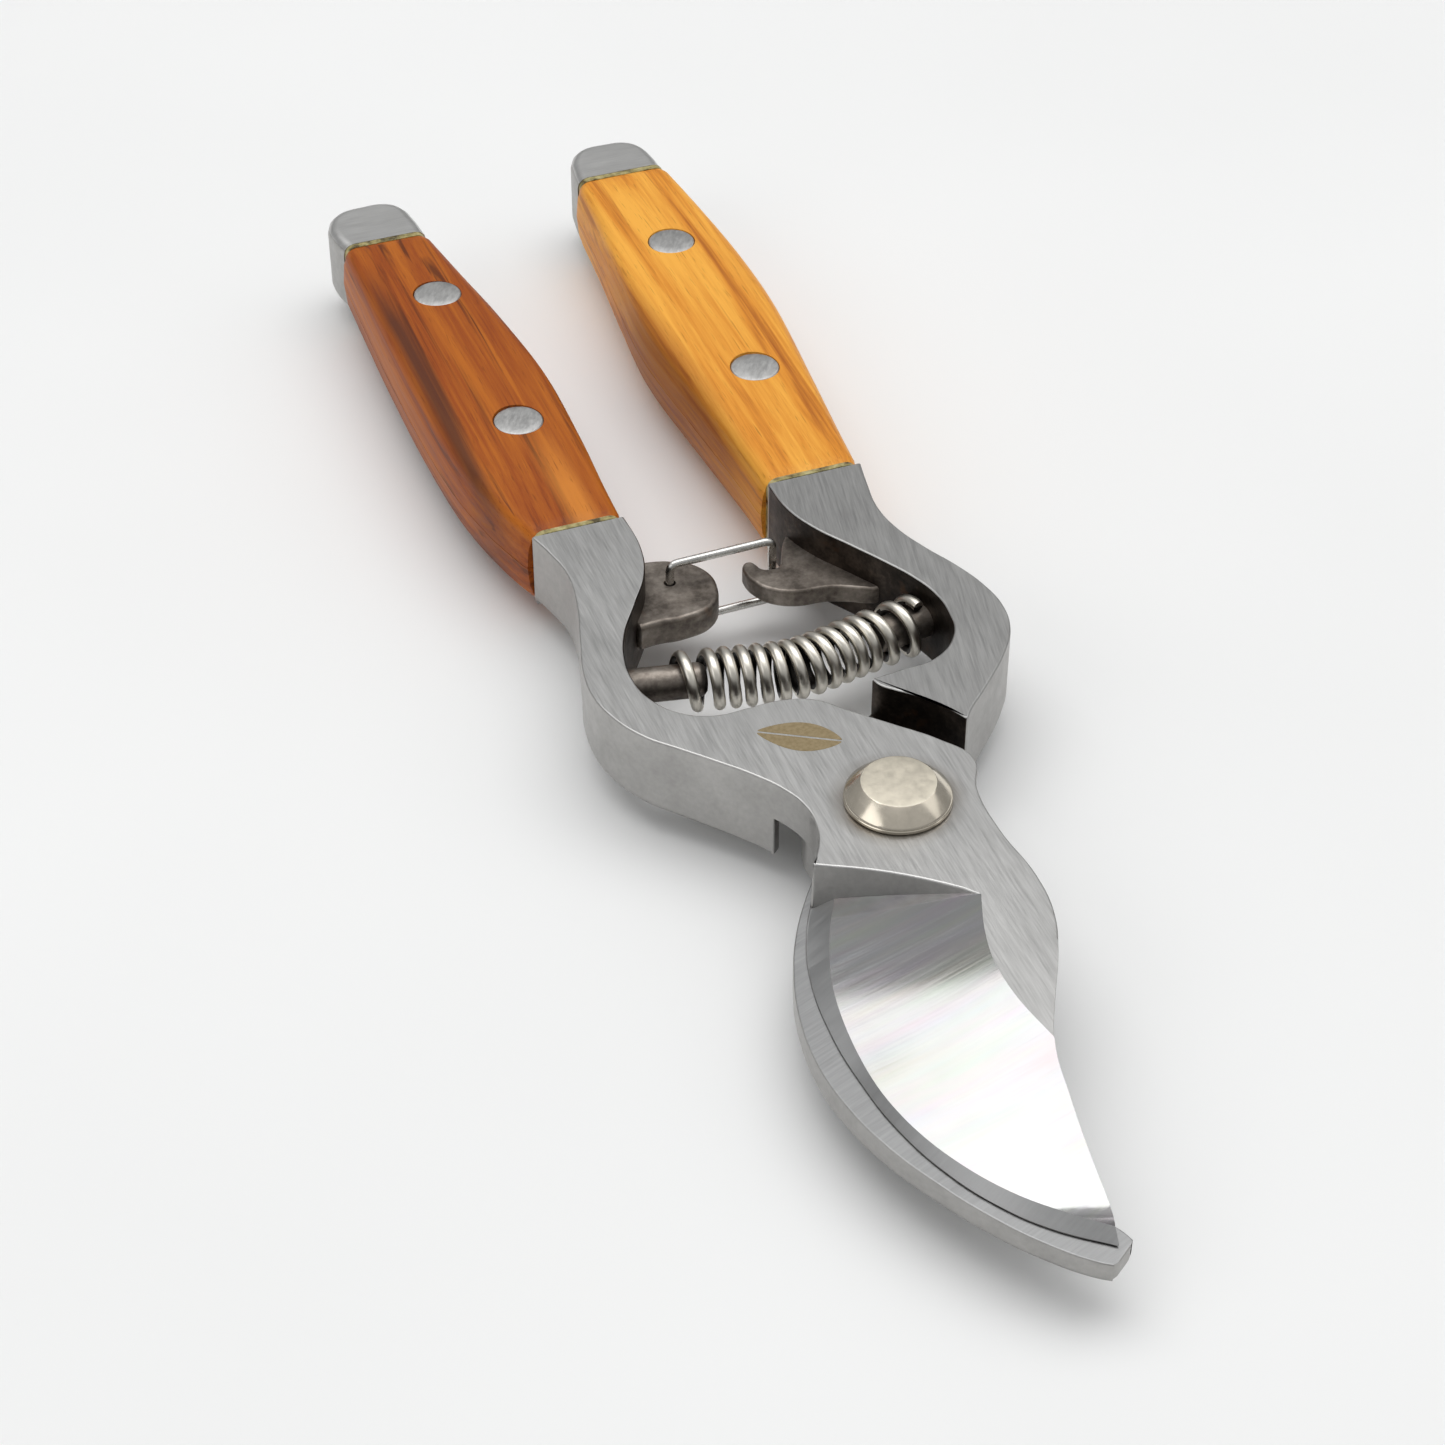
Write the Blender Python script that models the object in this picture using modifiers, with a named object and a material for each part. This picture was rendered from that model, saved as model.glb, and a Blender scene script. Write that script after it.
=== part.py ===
"""Bypass hand pruner with wooden handle scales, closed and latched, lying flat.

Millimetres in the constants, metres in the scene. The pivot axis is the line x = y = 0, the cutting
end points to -Y, the handles to +Y, the bolt head faces +Z, and the nut stands on z = 0.
Arm A is the left handle and the upper cutting blade, arm B the right handle and the lower hooked blade.
"""

import math

import bmesh
import bpy
from mathutils import Matrix, Vector

MM = 0.001
GAP = 0.3

# Heights of the layers.
ARM_BOTTOM = 3.0
ARM_TOP = 13.0
MID = 8.0
PLATE_A_BOTTOM = MID + GAP / 2
PLATE_B_TOP = MID - GAP / 2
HOOK_BOTTOM = 4.1
HOOK_TAPER = 0.023

# Pivot hardware.
SHANK_RADIUS = 4.0
HEAD_RADIUS = 5.7
HEAD_FLAT_RADIUS = 4.05
HEAD_HEIGHT = 2.2
WASHER_RADIUS = 6.0
WASHER_THICKNESS = 0.6
NUT_RADIUS = 6.0

# Handles.
TANG_HALF_WIDTH = 4.0
TANG_HALF_THICKNESS = 2.0
WOOD_START = 56.7
CROWN = 1.0
SIDE_BULGE = 0.5
CORNER_ROUND = 1.3
RIVET_RADIUS = 3.0
RIVET_SHANK = 2.0

# Spring, its studs and the latch.
SPRING_RADIUS = 2.87
SPRING_WIRE = 0.55
STUD_RADIUS = 2.0
LATCH_WIRE = 0.5
LATCH_TOP = 12.0
LATCH_FOOT = 3.6
LUG_BOTTOM = 6.0
LUG_TOP = 9.5
HOOK_PLATE_BOTTOM = 6.6
HOOK_PLATE_TOP = 9.0
LATCH_HOLE = (-8.0, 46.9)
LATCH_BAR = (4.6, 47.1)

# Outlines as (x, y), with a third value of 1 at a sharp corner.
BOW_A_OUTER = [
    (-21.4, 56.4, 1), (-20.4, 52.5), (-19.8, 48.4), (-20.4, 43.4), (-22.3, 36.5), (-23.8, 31.0), (-24.1, 27.0),
    (-23.4, 23.2), (-21.3, 18.8), (-18.4, 15.5), (-15.5, 12.3), (-12.6, 8.9), (-10.5, 5.7), (-9.4, 2.6), (-9.4, -0.6),
    (-10.2, -3.2),
]
BLADE_EDGE = [
    (-12.1, -6.3, 1), (-14.1, -9.9), (-16.3, -16.0), (-17.4, -24.5), (-17.2, -31.3), (-16.2, -38.4),
    (-14.0, -45.2), (-11.2, -50.4), (-8.0, -54.4), (-3.0, -58.6, 1),
]
BLADE_SPINE = [
    (-2.7, -56.4, 1), (-2.1, -50.5), (-1.0, -43.4), (0.3, -37.2), (2.7, -32.2), (5.9, -26.2), (8.0, -20.8),
    (8.6, -15.4), (8.0, -8.0), (8.4, -1.4), (10.1, 3.4),
]
BOW_A_INNER = [
    (7.9, 7.4), (4.6, 11.1), (0.9, 15.0), (-2.0, 18.1), (-5.5, 19.3), (-9.5, 19.3), (-12.9, 19.4), (-16.3, 21.2),
    (-18.5, 24.6), (-19.1, 28.4), (-18.7, 31.8), (-17.3, 35.8), (-14.4, 40.5), (-11.6, 45.2), (-10.3, 50.0),
    (-10.2, 56.4, 1),
]
BOW_B_INNER = [
    (7.6, 56.4, 1), (7.9, 51.0), (9.3, 46.8), (12.1, 41.9), (14.4, 37.9), (16.3, 34.2), (17.5, 30.4),
    (17.6, 26.9), (16.6, 23.1), (12.9, 19.9), (8.5, 19.4), (4.9, 18.9), (1.6, 17.4), (-0.9, 15.0), (-4.6, 11.1),
    (-7.4, 7.6), (-8.8, 3.8), (-8.7, 0.8),
]
HOOK_OUTER = [
    (-10.4, -2.6), (-12.4, -5.4), (-15.2, -9.8), (-17.6, -15.0), (-19.3, -20.6), (-20.1, -27.0), (-19.6, -33.4),
    (-18.0, -39.6), (-15.5, -45.4), (-12.5, -50.9), (-9.2, -55.6), (-5.5, -59.5), (-4.2, -60.4, 1), (-1.3, -58.3, 1),
]
HOOK_INNER = [
    (-1.9, -56.6), (-5.8, -51.0), (-9.0, -44.5), (-10.8, -37.0), (-11.0, -29.0), (-9.4, -21.5), (-5.6, -15.0),
    (0.2, -10.0), (5.6, -5.4), (8.6, -0.6), (9.6, 4.4),
]
BOW_B_OUTER = [
    (12.6, 9.9), (15.9, 13.2), (20.6, 18.2), (22.9, 21.8), (23.8, 25.8), (23.4, 29.8), (22.0, 34.2), (20.0, 38.6),
    (18.4, 43.2), (17.9, 47.6), (18.6, 52.4), (19.4, 56.4, 1),
]
# The lapped joint: the half of each arm that the other arm's plate takes.
STEP_A = [
    (-4.6, 19.4, 1), (-5.2, 17.2), (-7.0, 14.8), (-8.6, 12.0), (-9.6, 9.4), (-10.1, 7.6, 1), (-13.5, 4.4, 1),
    (-24.0, 2.0, 1), (-24.0, -64.0, 1), (16.0, -64.0, 1), (16.0, 0.0, 1), (12.0, 24.0, 1), (-3.6, 24.0, 1),
]
STEP_B = [
    (5.0, 19.4, 1), (5.4, 17.9), (6.7, 16.4), (8.1, 15.1), (9.6, 13.3), (11.0, 11.2), (11.9, 9.4, 1), (16.0, 6.0, 1),
    (16.0, -64.0, 1), (-24.0, -64.0, 1), (-24.0, 0.0, 1), (-12.0, 24.0, 1), (3.6, 24.0, 1),
]
# The ground faces from heel to tip: where they start on the top, the inner line of the second bevel, the edge.
GRIND_TOP = [
    (2.2, -16.0), (0.4, -20.8), (-0.6, -25.6), (-0.5, -31.0), (0.6, -37.2), (1.8, -45.0), (3.4, -54.0), (4.6, -63.0),
    (5.4, -72.0),
]
GRIND_INNER = [
    (-10.4, -8.2), (-13.0, -13.2), (-15.3, -20.0), (-16.2, -28.0), (-15.8, -35.6), (-13.6, -43.2), (-9.4, -50.6),
    (-2.6, -57.3), (5.0, -63.5),
]
GRIND_EDGE = [
    (-12.2, -6.9), (-15.2, -12.6), (-17.1, -19.6), (-17.4, -28.0), (-16.5, -36.7), (-14.2, -44.8), (-10.2, -51.9),
    (-3.0, -58.8), (5.0, -65.2),
]
GRIND_INNER_HEIGHT = [1.35, 1.3, 1.1, 0.8, 0.8, 0.95, 1.2, 1.25, 1.25]
EDGE_THICKNESS = 0.14
# The wall where the grinding starts: two points of it on the top face, one lower down, and how far it bows out.
GRIND_WALL = [(2.2, -16.0, 13.0), (-11.7, -6.2, 13.0), (-10.4, -8.2, 9.5)]
GRIND_WALL_BOW = 0.8

LUG = [
    (-14.0, 40.3, 1), (-12.0, 40.5), (-8.6, 40.3), (-4.8, 41.4), (-3.0, 44.8), (-3.5, 48.4), (-6.4, 50.9),
    (-9.6, 51.8), (-12.6, 51.8, 1), (-15.5, 46.0, 1),
]
LATCH_HOOK = [
    (2.7, 47.3), (2.4, 47.9), (1.8, 48.1), (1.15, 47.6), (0.9, 46.4), (1.2, 44.6), (2.4, 42.5), (5.0, 40.9),
    (9.0, 40.3), (13.5, 38.2, 1), (16.5, 38.2, 1), (12.5, 50.5, 1), (8.6, 52.0, 1), (7.2, 50.2), (6.0, 47.8),
    (5.1, 46.1), (4.2, 45.9), (3.1, 46.3),
]
BUTT_A = [
    (-24.6, 124.0, 1), (-25.2, 127.5), (-25.2, 131.2), (-24.0, 132.9), (-19.6, 133.3), (-15.2, 133.2), (-14.2, 132.2),
    (-13.8, 128.0), (-13.5, 124.0, 1),
]
BUTT_B = [
    (9.0, 128.9, 1), (9.5, 132.6), (10.0, 135.8), (11.2, 137.0), (15.2, 137.2), (19.4, 136.8), (20.5, 135.6),
    (20.8, 132.4), (20.9, 128.9, 1),
]

# Each handle: edge lines of the wood as (y, x left, x right), the tang's centre line as (y, x), the rivets.
WOOD_A = [(56.7, -21.3, -10.2), (64.0, -23.4, -9.9), (74.0, -25.0, -9.3), (88.0, -25.5, -9.0), (102.0, -25.4, -10.3),
          (113.0, -25.1, -11.9), (123.7, -24.7, -13.4)]
WOOD_B = [(56.7, 7.5, 19.3), (64.0, 7.3, 20.0), (76.0, 6.5, 21.3), (92.0, 5.6, 22.9), (105.0, 6.6, 23.0),
          (117.0, 7.9, 22.3), (128.6, 8.9, 21.3)]
TANG_A = [(53.0, -16.0), (78.0, -16.2), (108.0, -17.3), (126.0, -18.9)]
TANG_B = [(53.0, 13.5), (78.0, 14.1), (108.0, 14.9), (131.0, 15.1)]
RIVETS_A = [(-15.9, 77.8), (-16.8, 107.9)]
RIVETS_B = [(14.6, 78.3), (15.0, 108.9)]

# Studs as (root, tip), and the spring's centre line.
STUD_A = [(-20.2, 33.2), (-9.5, 30.97)]
STUD_B = [(19.2, 32.4), (10.6, 31.03)]
SPRING_LINE = [(-14.6, 32.0), (-7.0, 30.35), (0.4, 29.15), (8.0, 30.4), (17.0, 32.0)]
# How far along X the wire is after each number of turns.
SPRING_PACE = [(0.0, -12.9), (0.25, -12.2), (1.25, -9.2), (12.25, 10.3), (13.25, 13.4), (14.35, 15.9)]


def clear_scene():
    for obj in list(bpy.data.objects):
        bpy.data.objects.remove(obj, do_unlink=True)


def new_collection(name):
    made = bpy.data.collections.new(name)
    bpy.context.scene.collection.children.link(made)
    return made


def material(name, colour, roughness, metallic):
    made = bpy.data.materials.new(name)
    made.use_nodes = True
    shader = made.node_tree.nodes["Principled BSDF"]
    shader.inputs["Base Color"].default_value = (*colour, 1.0)
    shader.inputs["Roughness"].default_value = roughness
    shader.inputs["Metallic"].default_value = metallic
    return made


def add_object(name, data, collection):
    obj = bpy.data.objects.new(name, data)
    collection.objects.link(obj)
    return obj


def finish_mesh(bm, name, collection):
    """Turns a bmesh in millimetres into an object in metres."""
    bmesh.ops.remove_doubles(bm, verts=bm.verts[:], dist=0.0005)
    bmesh.ops.recalc_face_normals(bm, faces=bm.faces[:])
    bmesh.ops.scale(bm, vec=(MM, MM, MM), verts=bm.verts[:])
    mesh = bpy.data.meshes.new(name)
    bm.to_mesh(mesh)
    bm.free()
    return add_object(name, mesh, collection)


def as_mesh(curve_object, name, collection):
    """Replaces a curve by the closed mesh that it makes."""
    bpy.context.view_layer.update()
    graph = bpy.context.evaluated_depsgraph_get()
    mesh = bpy.data.meshes.new_from_object(curve_object.evaluated_get(graph))
    bm = bmesh.new()
    bm.from_mesh(mesh)
    bm.transform(curve_object.matrix_world)
    bmesh.ops.remove_doubles(bm, verts=bm.verts[:], dist=0.000001)
    bmesh.ops.recalc_face_normals(bm, faces=bm.faces[:])
    mesh.clear_geometry()
    bm.to_mesh(mesh)
    bm.free()
    curve = curve_object.data
    bpy.data.objects.remove(curve_object, do_unlink=True)
    bpy.data.curves.remove(curve)
    mesh.name = name
    return add_object(name, mesh, collection)


def slab(name, outline, low, high, collection, resolution=4):
    """A flat outline raised from one height to another."""
    curve = bpy.data.curves.new(name, "CURVE")
    curve.dimensions = "2D"
    curve.fill_mode = "BOTH"
    curve.resolution_u = resolution
    curve.extrude = (high - low) / 2 * MM
    spline = curve.splines.new("BEZIER")
    spline.bezier_points.add(len(outline) - 1)
    spline.use_cyclic_u = True
    for knot, place in zip(spline.bezier_points, outline):
        knot.co = (place[0] * MM, place[1] * MM, 0.0)
        kind = "VECTOR" if len(place) > 2 else "AUTO"
        knot.handle_left_type = kind
        knot.handle_right_type = kind
    flat = add_object(name + "_line", curve, collection)
    flat.location.z = (low + high) / 2 * MM
    return as_mesh(flat, name, collection)


def shell(name, columns, rows, place, collection):
    """A closed skin: a grid whose first side runs around a section and whose second side runs along the body."""
    bm = bmesh.new()
    bmesh.ops.create_grid(bm, x_segments=columns, y_segments=rows, size=1.0)
    for vert in bm.verts:
        around = round((vert.co.x + 1.0) / 2.0 * columns) % columns
        along = (vert.co.y + 1.0) / 2.0
        vert.co = place(around, along)
    bmesh.ops.remove_doubles(bm, verts=bm.verts[:], dist=0.0005)
    bmesh.ops.holes_fill(bm, edges=bm.edges[:], sides=0)
    return finish_mesh(bm, name, collection)


def turned(name, profile, collection, steps=32):
    """A turned shape about its own Z axis, from (radius, height) pairs running down its outer side."""
    bm = bmesh.new()
    places = [bm.verts.new((radius * MM, 0.0, height * MM)) for radius, height in profile]
    for first, second in zip(places, places[1:]):
        bm.edges.new((first, second))
    mesh = bpy.data.meshes.new(name)
    bm.to_mesh(mesh)
    bm.free()
    obj = add_object(name, mesh, collection)
    screw = obj.modifiers.new("turn", "SCREW")
    screw.axis = "Z"
    screw.angle = math.tau
    screw.steps = steps
    screw.render_steps = steps
    screw.use_merge_vertices = True
    screw.merge_threshold = 0.00001
    return obj


def rod(name, radius, low, high, centre, collection, sides=24):
    bm = bmesh.new()
    bmesh.ops.create_cone(
        bm, cap_ends=True, segments=sides, radius1=radius, radius2=radius, depth=high - low,
        matrix=Matrix.Translation((centre[0], centre[1], (low + high) / 2)),
    )
    return finish_mesh(bm, name, collection)


def rod_between(name, radius, start, end, height, collection, sides=24):
    """A round rod that lies level between two plan points."""
    start = Vector((*start, height))
    end = Vector((*end, height))
    turn = (end - start).to_track_quat("Z", "Y").to_matrix().to_4x4()
    bm = bmesh.new()
    bmesh.ops.create_cone(
        bm, cap_ends=True, segments=sides, radius1=radius, radius2=radius, depth=(end - start).length,
        matrix=Matrix.Translation((start + end) / 2) @ turn,
    )
    return finish_mesh(bm, name, collection)


def boolean(obj, other, operation="DIFFERENCE"):
    step = obj.modifiers.new(operation.lower() + "_" + other.name, "BOOLEAN")
    step.operation = operation
    step.solver = "EXACT"
    step.object = other
    other.hide_render = True
    other.display_type = "WIRE"


def wire(name, places, radius, collection, resolution=2):
    """A round wire through the given places."""
    curve = bpy.data.curves.new(name, "CURVE")
    curve.dimensions = "3D"
    curve.bevel_depth = radius * MM
    curve.bevel_resolution = resolution
    curve.use_fill_caps = True
    spline = curve.splines.new("POLY")
    spline.points.add(len(places) - 1)
    for point, place in zip(spline.points, places):
        point.co = (place[0] * MM, place[1] * MM, place[2] * MM, 1.0)
    return as_mesh(add_object(name + "_line", curve, collection), name, collection)


def rounded_path(corners, radius, steps=5):
    """The places of a bent wire, with each inner corner rounded."""
    corners = [Vector(corner) for corner in corners]
    places = [corners[0]]
    for before, corner, after in zip(corners, corners[1:], corners[2:]):
        start = corner + (before - corner).normalized() * radius
        end = corner + (after - corner).normalized() * radius
        for step in range(steps + 1):
            t = step / steps
            places.append(start * (1 - t) ** 2 + corner * 2 * t * (1 - t) + end * t**2)
    return places + [corners[-1]]


def along_line(line, t):
    """The point at share t of a smooth line through evenly spaced knots."""
    spans = len(line) - 1
    span = min(int(t * spans), spans - 1)
    u = t * spans - span
    knots = [line[min(max(span + k, 0), spans)] for k in (-1, 0, 1, 2)]
    found = []
    for a, b, c, d in zip(*knots):
        found.append(0.5 * (2 * b + (c - a) * u + (2 * a - 5 * b + 4 * c - d) * u**2 + (3 * b - a - 3 * c + d) * u**3))
    return found


def share_at(line, y):
    """The share of the line at which its first value, which only grows, reaches y."""
    low, high = 0.0, 1.0
    for _ in range(30):
        middle = (low + high) / 2
        if along_line(line, middle)[0] < y:
            low = middle
        else:
            high = middle
    return low


def wood_edges(line, y):
    _, left, right = along_line(line, share_at(line, y))
    return left, right


def crown_height(line, y):
    """How far the wood stands above the steel, nothing at its ends."""
    share = (y - line[0][0]) / (line[-1][0] - line[0][0])
    return CROWN * math.sin(math.pi * min(max(share, 0.0), 1.0)) ** 0.7


def wood_section(line, y, side):
    """The section of one scale, as (x, z) pairs around it, for side 1 above the steel and -1 below."""
    left, right = wood_edges(line, y)
    base = MID + side * GAP / 2
    face = ARM_TOP if side > 0 else ARM_BOTTOM
    crown = crown_height(line, y)
    half = (right - left) / 2
    pairs = [(left - SIDE_BULGE, base), (left - SIDE_BULGE * 0.8, base + side * 2.0)]
    for step in range(4):
        angle = math.radians(90 * step / 3)
        pairs.append((
            left + CORNER_ROUND * (1 - math.cos(angle)),
            face - side * CORNER_ROUND * (1 - math.sin(angle)),
        ))
    for step in (-0.62, -0.35, 0.0, 0.35, 0.62):
        pairs.append(((left + right) / 2 + half * step, face + side * crown * (1 - step * step)))
    for step in range(4):
        angle = math.radians(90 * step / 3)
        pairs.append((
            right - CORNER_ROUND * (1 - math.sin(angle)),
            face - side * CORNER_ROUND * (1 - math.cos(angle)),
        ))
    pairs += [(right + SIDE_BULGE * 0.8, base + side * 2.0), (right + SIDE_BULGE, base)]
    return pairs


def scale(name, line, tang, rivets, side, collection, cutters):
    """One wooden scale, hollowed for the tang and drilled for its rivets."""
    sections = 16
    start, end = line[0][0] + GAP, line[-1][0] - GAP

    def place(around, along):
        y = start + (end - start) * along
        x, z = wood_section(line, y, side)[around]
        return (x, y, z)

    body = shell(name, len(wood_section(line, start, side)), sections, place, collection)
    recess = slab(
        name + "_recess", tang_outline(tang, TANG_HALF_WIDTH + GAP),
        MID - TANG_HALF_THICKNESS - GAP, MID + TANG_HALF_THICKNESS + GAP, cutters,
    )
    boolean(body, recess)
    for number, rivet in enumerate(rivets):
        hole = rod(f"{name}_hole_{number}", RIVET_RADIUS + GAP, -1.0, 18.0, rivet, cutters)
        boolean(body, hole)
    return body


def tang_outline(tang, half_width):
    left = [(x - half_width, y, 1) for y, x in tang]
    right = [(x + half_width, y, 1) for y, x in tang]
    return right + left[::-1]


def rivet(name, place, line, collection):
    """A through rivet with a flat head at each face."""
    rise = crown_height(line, place[1]) - 0.12
    top = ARM_TOP + rise
    foot = ARM_BOTTOM - rise
    profile = [
        (0.0, top), (RIVET_RADIUS - 0.25, top), (RIVET_RADIUS, top - 0.25), (RIVET_RADIUS, top - 2.2),
        (RIVET_SHANK, top - 2.2), (RIVET_SHANK, foot + 2.2), (RIVET_RADIUS, foot + 2.2),
        (RIVET_RADIUS, foot + 0.25), (RIVET_RADIUS - 0.25, foot), (0.0, foot),
    ]
    made = turned(name, profile, collection, 24)
    made.location = (place[0] * MM, place[1] * MM, 0.0)
    return made


def grind_section(along):
    """The cutting body's floor across the blade at a share along its length, and the same line at its roof."""
    top = Vector((*along_line(GRIND_TOP, along), ARM_TOP))
    edge = Vector((*along_line(GRIND_EDGE, along), PLATE_A_BOTTOM + EDGE_THICKNESS))
    heights = [(height,) for height in GRIND_INNER_HEIGHT]
    inner = Vector((*along_line(GRIND_INNER, along), PLATE_A_BOTTOM + along_line(heights, along)[0]))
    floor = [top + (top - inner) * 0.25, top]
    for share in (0.25, 0.5, 0.75):
        place = top.lerp(inner, share)
        place.z -= 0.35 * 4 * share * (1 - share)
        floor.append(place)
    beyond = edge + (edge - inner) * 1.2
    beyond.z = edge.z
    floor += [inner, edge, beyond]
    roof = [Vector((place.x, place.y, ARM_TOP + 4.0)) for place in floor]
    return floor + roof[::-1]


def on_grind_wall(place):
    """Moves a point along the blade onto the bowed, leaning wall where the grinding starts."""
    first, second, third = (Vector(corner) for corner in GRIND_WALL)
    facing = (second - first).cross(third - first)
    way = Vector((0.35, 0.94, 0.0))
    share = min(max((first.x - place.x) / (first.x - second.x), 0.0), 1.0)
    return place + way * (facing.dot(first - place) / facing.dot(way) + GRIND_WALL_BOW * 4 * share * (1 - share))


def grind_cutter(name, collection):
    """The body of steel that the two ground faces of the cutting blade take away."""
    rows = 40
    sections = [[on_grind_wall(place) for place in grind_section(0.0)]]
    sections += [grind_section((row / rows) ** 1.2) for row in range(1, rows + 1)]
    bm = bmesh.new()
    rings = [[bm.verts.new(place) for place in section] for section in sections]
    count = len(rings[0])
    for ring, following in zip(rings, rings[1:]):
        for k in range(count):
            bm.faces.new((ring[k], ring[(k + 1) % count], following[(k + 1) % count], following[k]))
    for ring in (rings[0], rings[-1]):
        for k in range(count // 2 - 1):
            bm.faces.new((ring[k], ring[k + 1], ring[count - 2 - k], ring[count - 1 - k]))
    return finish_mesh(bm, name, collection)


def stud_bore(ends):
    """The two plan points of the hole that a stud sits in, with a gap behind its root."""
    root, tip = Vector(ends[0]), Vector(ends[1])
    return tuple(root + (root - tip).normalized() * GAP), tuple(tip)


def arm(name, outline, tang, butt, inner, cut_away, bore, cutters, collection):
    """One forged arm: the bow, its half-thick plate at the pivot, the tang and the butt."""
    body = slab(name, outline, ARM_BOTTOM, ARM_TOP, collection)
    boolean(body, cut_away)
    boolean(body, slab(
        name + "_tang", tang_outline(tang, TANG_HALF_WIDTH), MID - TANG_HALF_THICKNESS, MID + TANG_HALF_THICKNESS,
        cutters,
    ), "UNION")
    boolean(body, slab(name + "_butt", butt, ARM_BOTTOM, ARM_TOP, cutters), "UNION")
    boolean(body, inner, "UNION")
    for cutter in bore:
        boolean(body, cutter)
    return body


def build_arm_a(collection, cutters):
    outline = BOW_A_OUTER + BLADE_EDGE + BLADE_SPINE + BOW_A_INNER
    cut_away = slab("arm_a_lap", STEP_A, -1.0, PLATE_A_BOTTOM, cutters)
    lug = slab("arm_a_lug", LUG, LUG_BOTTOM, LUG_TOP, cutters)
    bore = [
        rod("arm_a_bore", SHANK_RADIUS + GAP, -1.0, 16.0, (0.0, 0.0), cutters, 40),
        rod("arm_a_latch_hole", LATCH_WIRE + GAP, 0.0, 16.0, LATCH_HOLE, cutters, 16),
        rod_between("arm_a_stud_hole", STUD_RADIUS + GAP, *stud_bore(STUD_A), MID, cutters),
        grind_cutter("arm_a_grind", cutters),
    ]
    for number, place in enumerate(RIVETS_A):
        bore.append(rod(f"arm_a_rivet_hole_{number}", RIVET_SHANK + GAP, 0.0, 16.0, place, cutters))
    return arm("arm_a_upper_blade", outline, TANG_A, BUTT_A, lug, cut_away, bore, cutters, collection)


def build_arm_b(collection, cutters):
    outline = BOW_B_INNER + HOOK_OUTER + HOOK_INNER + BOW_B_OUTER
    cut_away = slab("arm_b_lap", STEP_B, PLATE_B_TOP, 17.0, cutters)
    hook = slab("arm_b_latch_hook", LATCH_HOOK, HOOK_PLATE_BOTTOM, HOOK_PLATE_TOP, cutters)
    thin = slab("arm_b_thinning", [(-30, -12, 1), (20, -12, 1), (20, -70, 1), (-30, -70, 1)], -1.0, HOOK_BOTTOM, cutters)
    for vert in thin.data.vertices:
        if vert.co.z > 0:
            vert.co.z -= (vert.co.y + 12 * MM) * HOOK_TAPER
    bore = [
        rod("arm_b_bore", SHANK_RADIUS + GAP, -1.0, 16.0, (0.0, 0.0), cutters, 40),
        rod_between("arm_b_stud_hole", STUD_RADIUS + GAP, *stud_bore(STUD_B), MID, cutters),
        thin,
    ]
    for number, place in enumerate(RIVETS_B):
        bore.append(rod(f"arm_b_rivet_hole_{number}", RIVET_SHANK + GAP, 0.0, 16.0, place, cutters))
    return arm("arm_b_lower_blade", outline, TANG_B, BUTT_B, hook, cut_away, bore, cutters, collection)


def build_pivot(collection):
    top = ARM_TOP + GAP
    bolt = turned("pivot_bolt", [
        (0.0, top + HEAD_HEIGHT), (HEAD_FLAT_RADIUS - 0.2, top + HEAD_HEIGHT), (HEAD_FLAT_RADIUS, top + HEAD_HEIGHT - 0.08),
        (HEAD_RADIUS - 0.15, top + 0.75), (HEAD_RADIUS, top + 0.6), (HEAD_RADIUS, top + 0.12),
        (HEAD_RADIUS - 0.12, top), (SHANK_RADIUS, top), (SHANK_RADIUS, ARM_BOTTOM - GAP), (2.6, ARM_BOTTOM - GAP - 0.7),
        (2.6, 0.3), (2.3, 0.0), (0.0, 0.0),
    ], collection, 48)
    washer = turned("pivot_washer", [
        (WASHER_RADIUS, ARM_BOTTOM - GAP - 0.001), (WASHER_RADIUS, ARM_BOTTOM - GAP - WASHER_THICKNESS),
        (SHANK_RADIUS + GAP, ARM_BOTTOM - GAP - WASHER_THICKNESS), (SHANK_RADIUS + GAP, ARM_BOTTOM - GAP - 0.001),
        (WASHER_RADIUS, ARM_BOTTOM - GAP - 0.001),
    ], collection, 40)
    nut_top = ARM_BOTTOM - GAP - WASHER_THICKNESS - GAP
    bm = bmesh.new()
    bmesh.ops.create_cone(
        bm, cap_ends=True, segments=6, radius1=NUT_RADIUS, radius2=NUT_RADIUS, depth=nut_top,
        matrix=Matrix.Translation((0.0, 0.0, nut_top / 2)),
    )
    nut = finish_mesh(bm, "pivot_nut", collection)
    return bolt, washer, nut


def stud(name, ends, collection):
    """A round spring stud with a chamfered tip, let into the wall of its arm."""
    root = Vector((*ends[0], MID))
    tip = Vector((*ends[1], MID))
    length = (tip - root).length
    made = turned(name, [
        (0.0, length), (STUD_RADIUS - 0.7, length), (STUD_RADIUS, length - 0.8), (STUD_RADIUS, 0.0), (0.0, 0.0),
    ], collection, 24)
    made.matrix_world = Matrix.Translation(root * MM) @ (tip - root).to_track_quat("Z", "Y").to_matrix().to_4x4()
    return made


def spring_reach(turns):
    """How far along X the wire is after some turns."""
    for (start, low), (end, high) in zip(SPRING_PACE, SPRING_PACE[1:]):
        if turns <= end:
            return low + (high - low) * (turns - start) / (end - start)
    return SPRING_PACE[-1][1]


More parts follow.
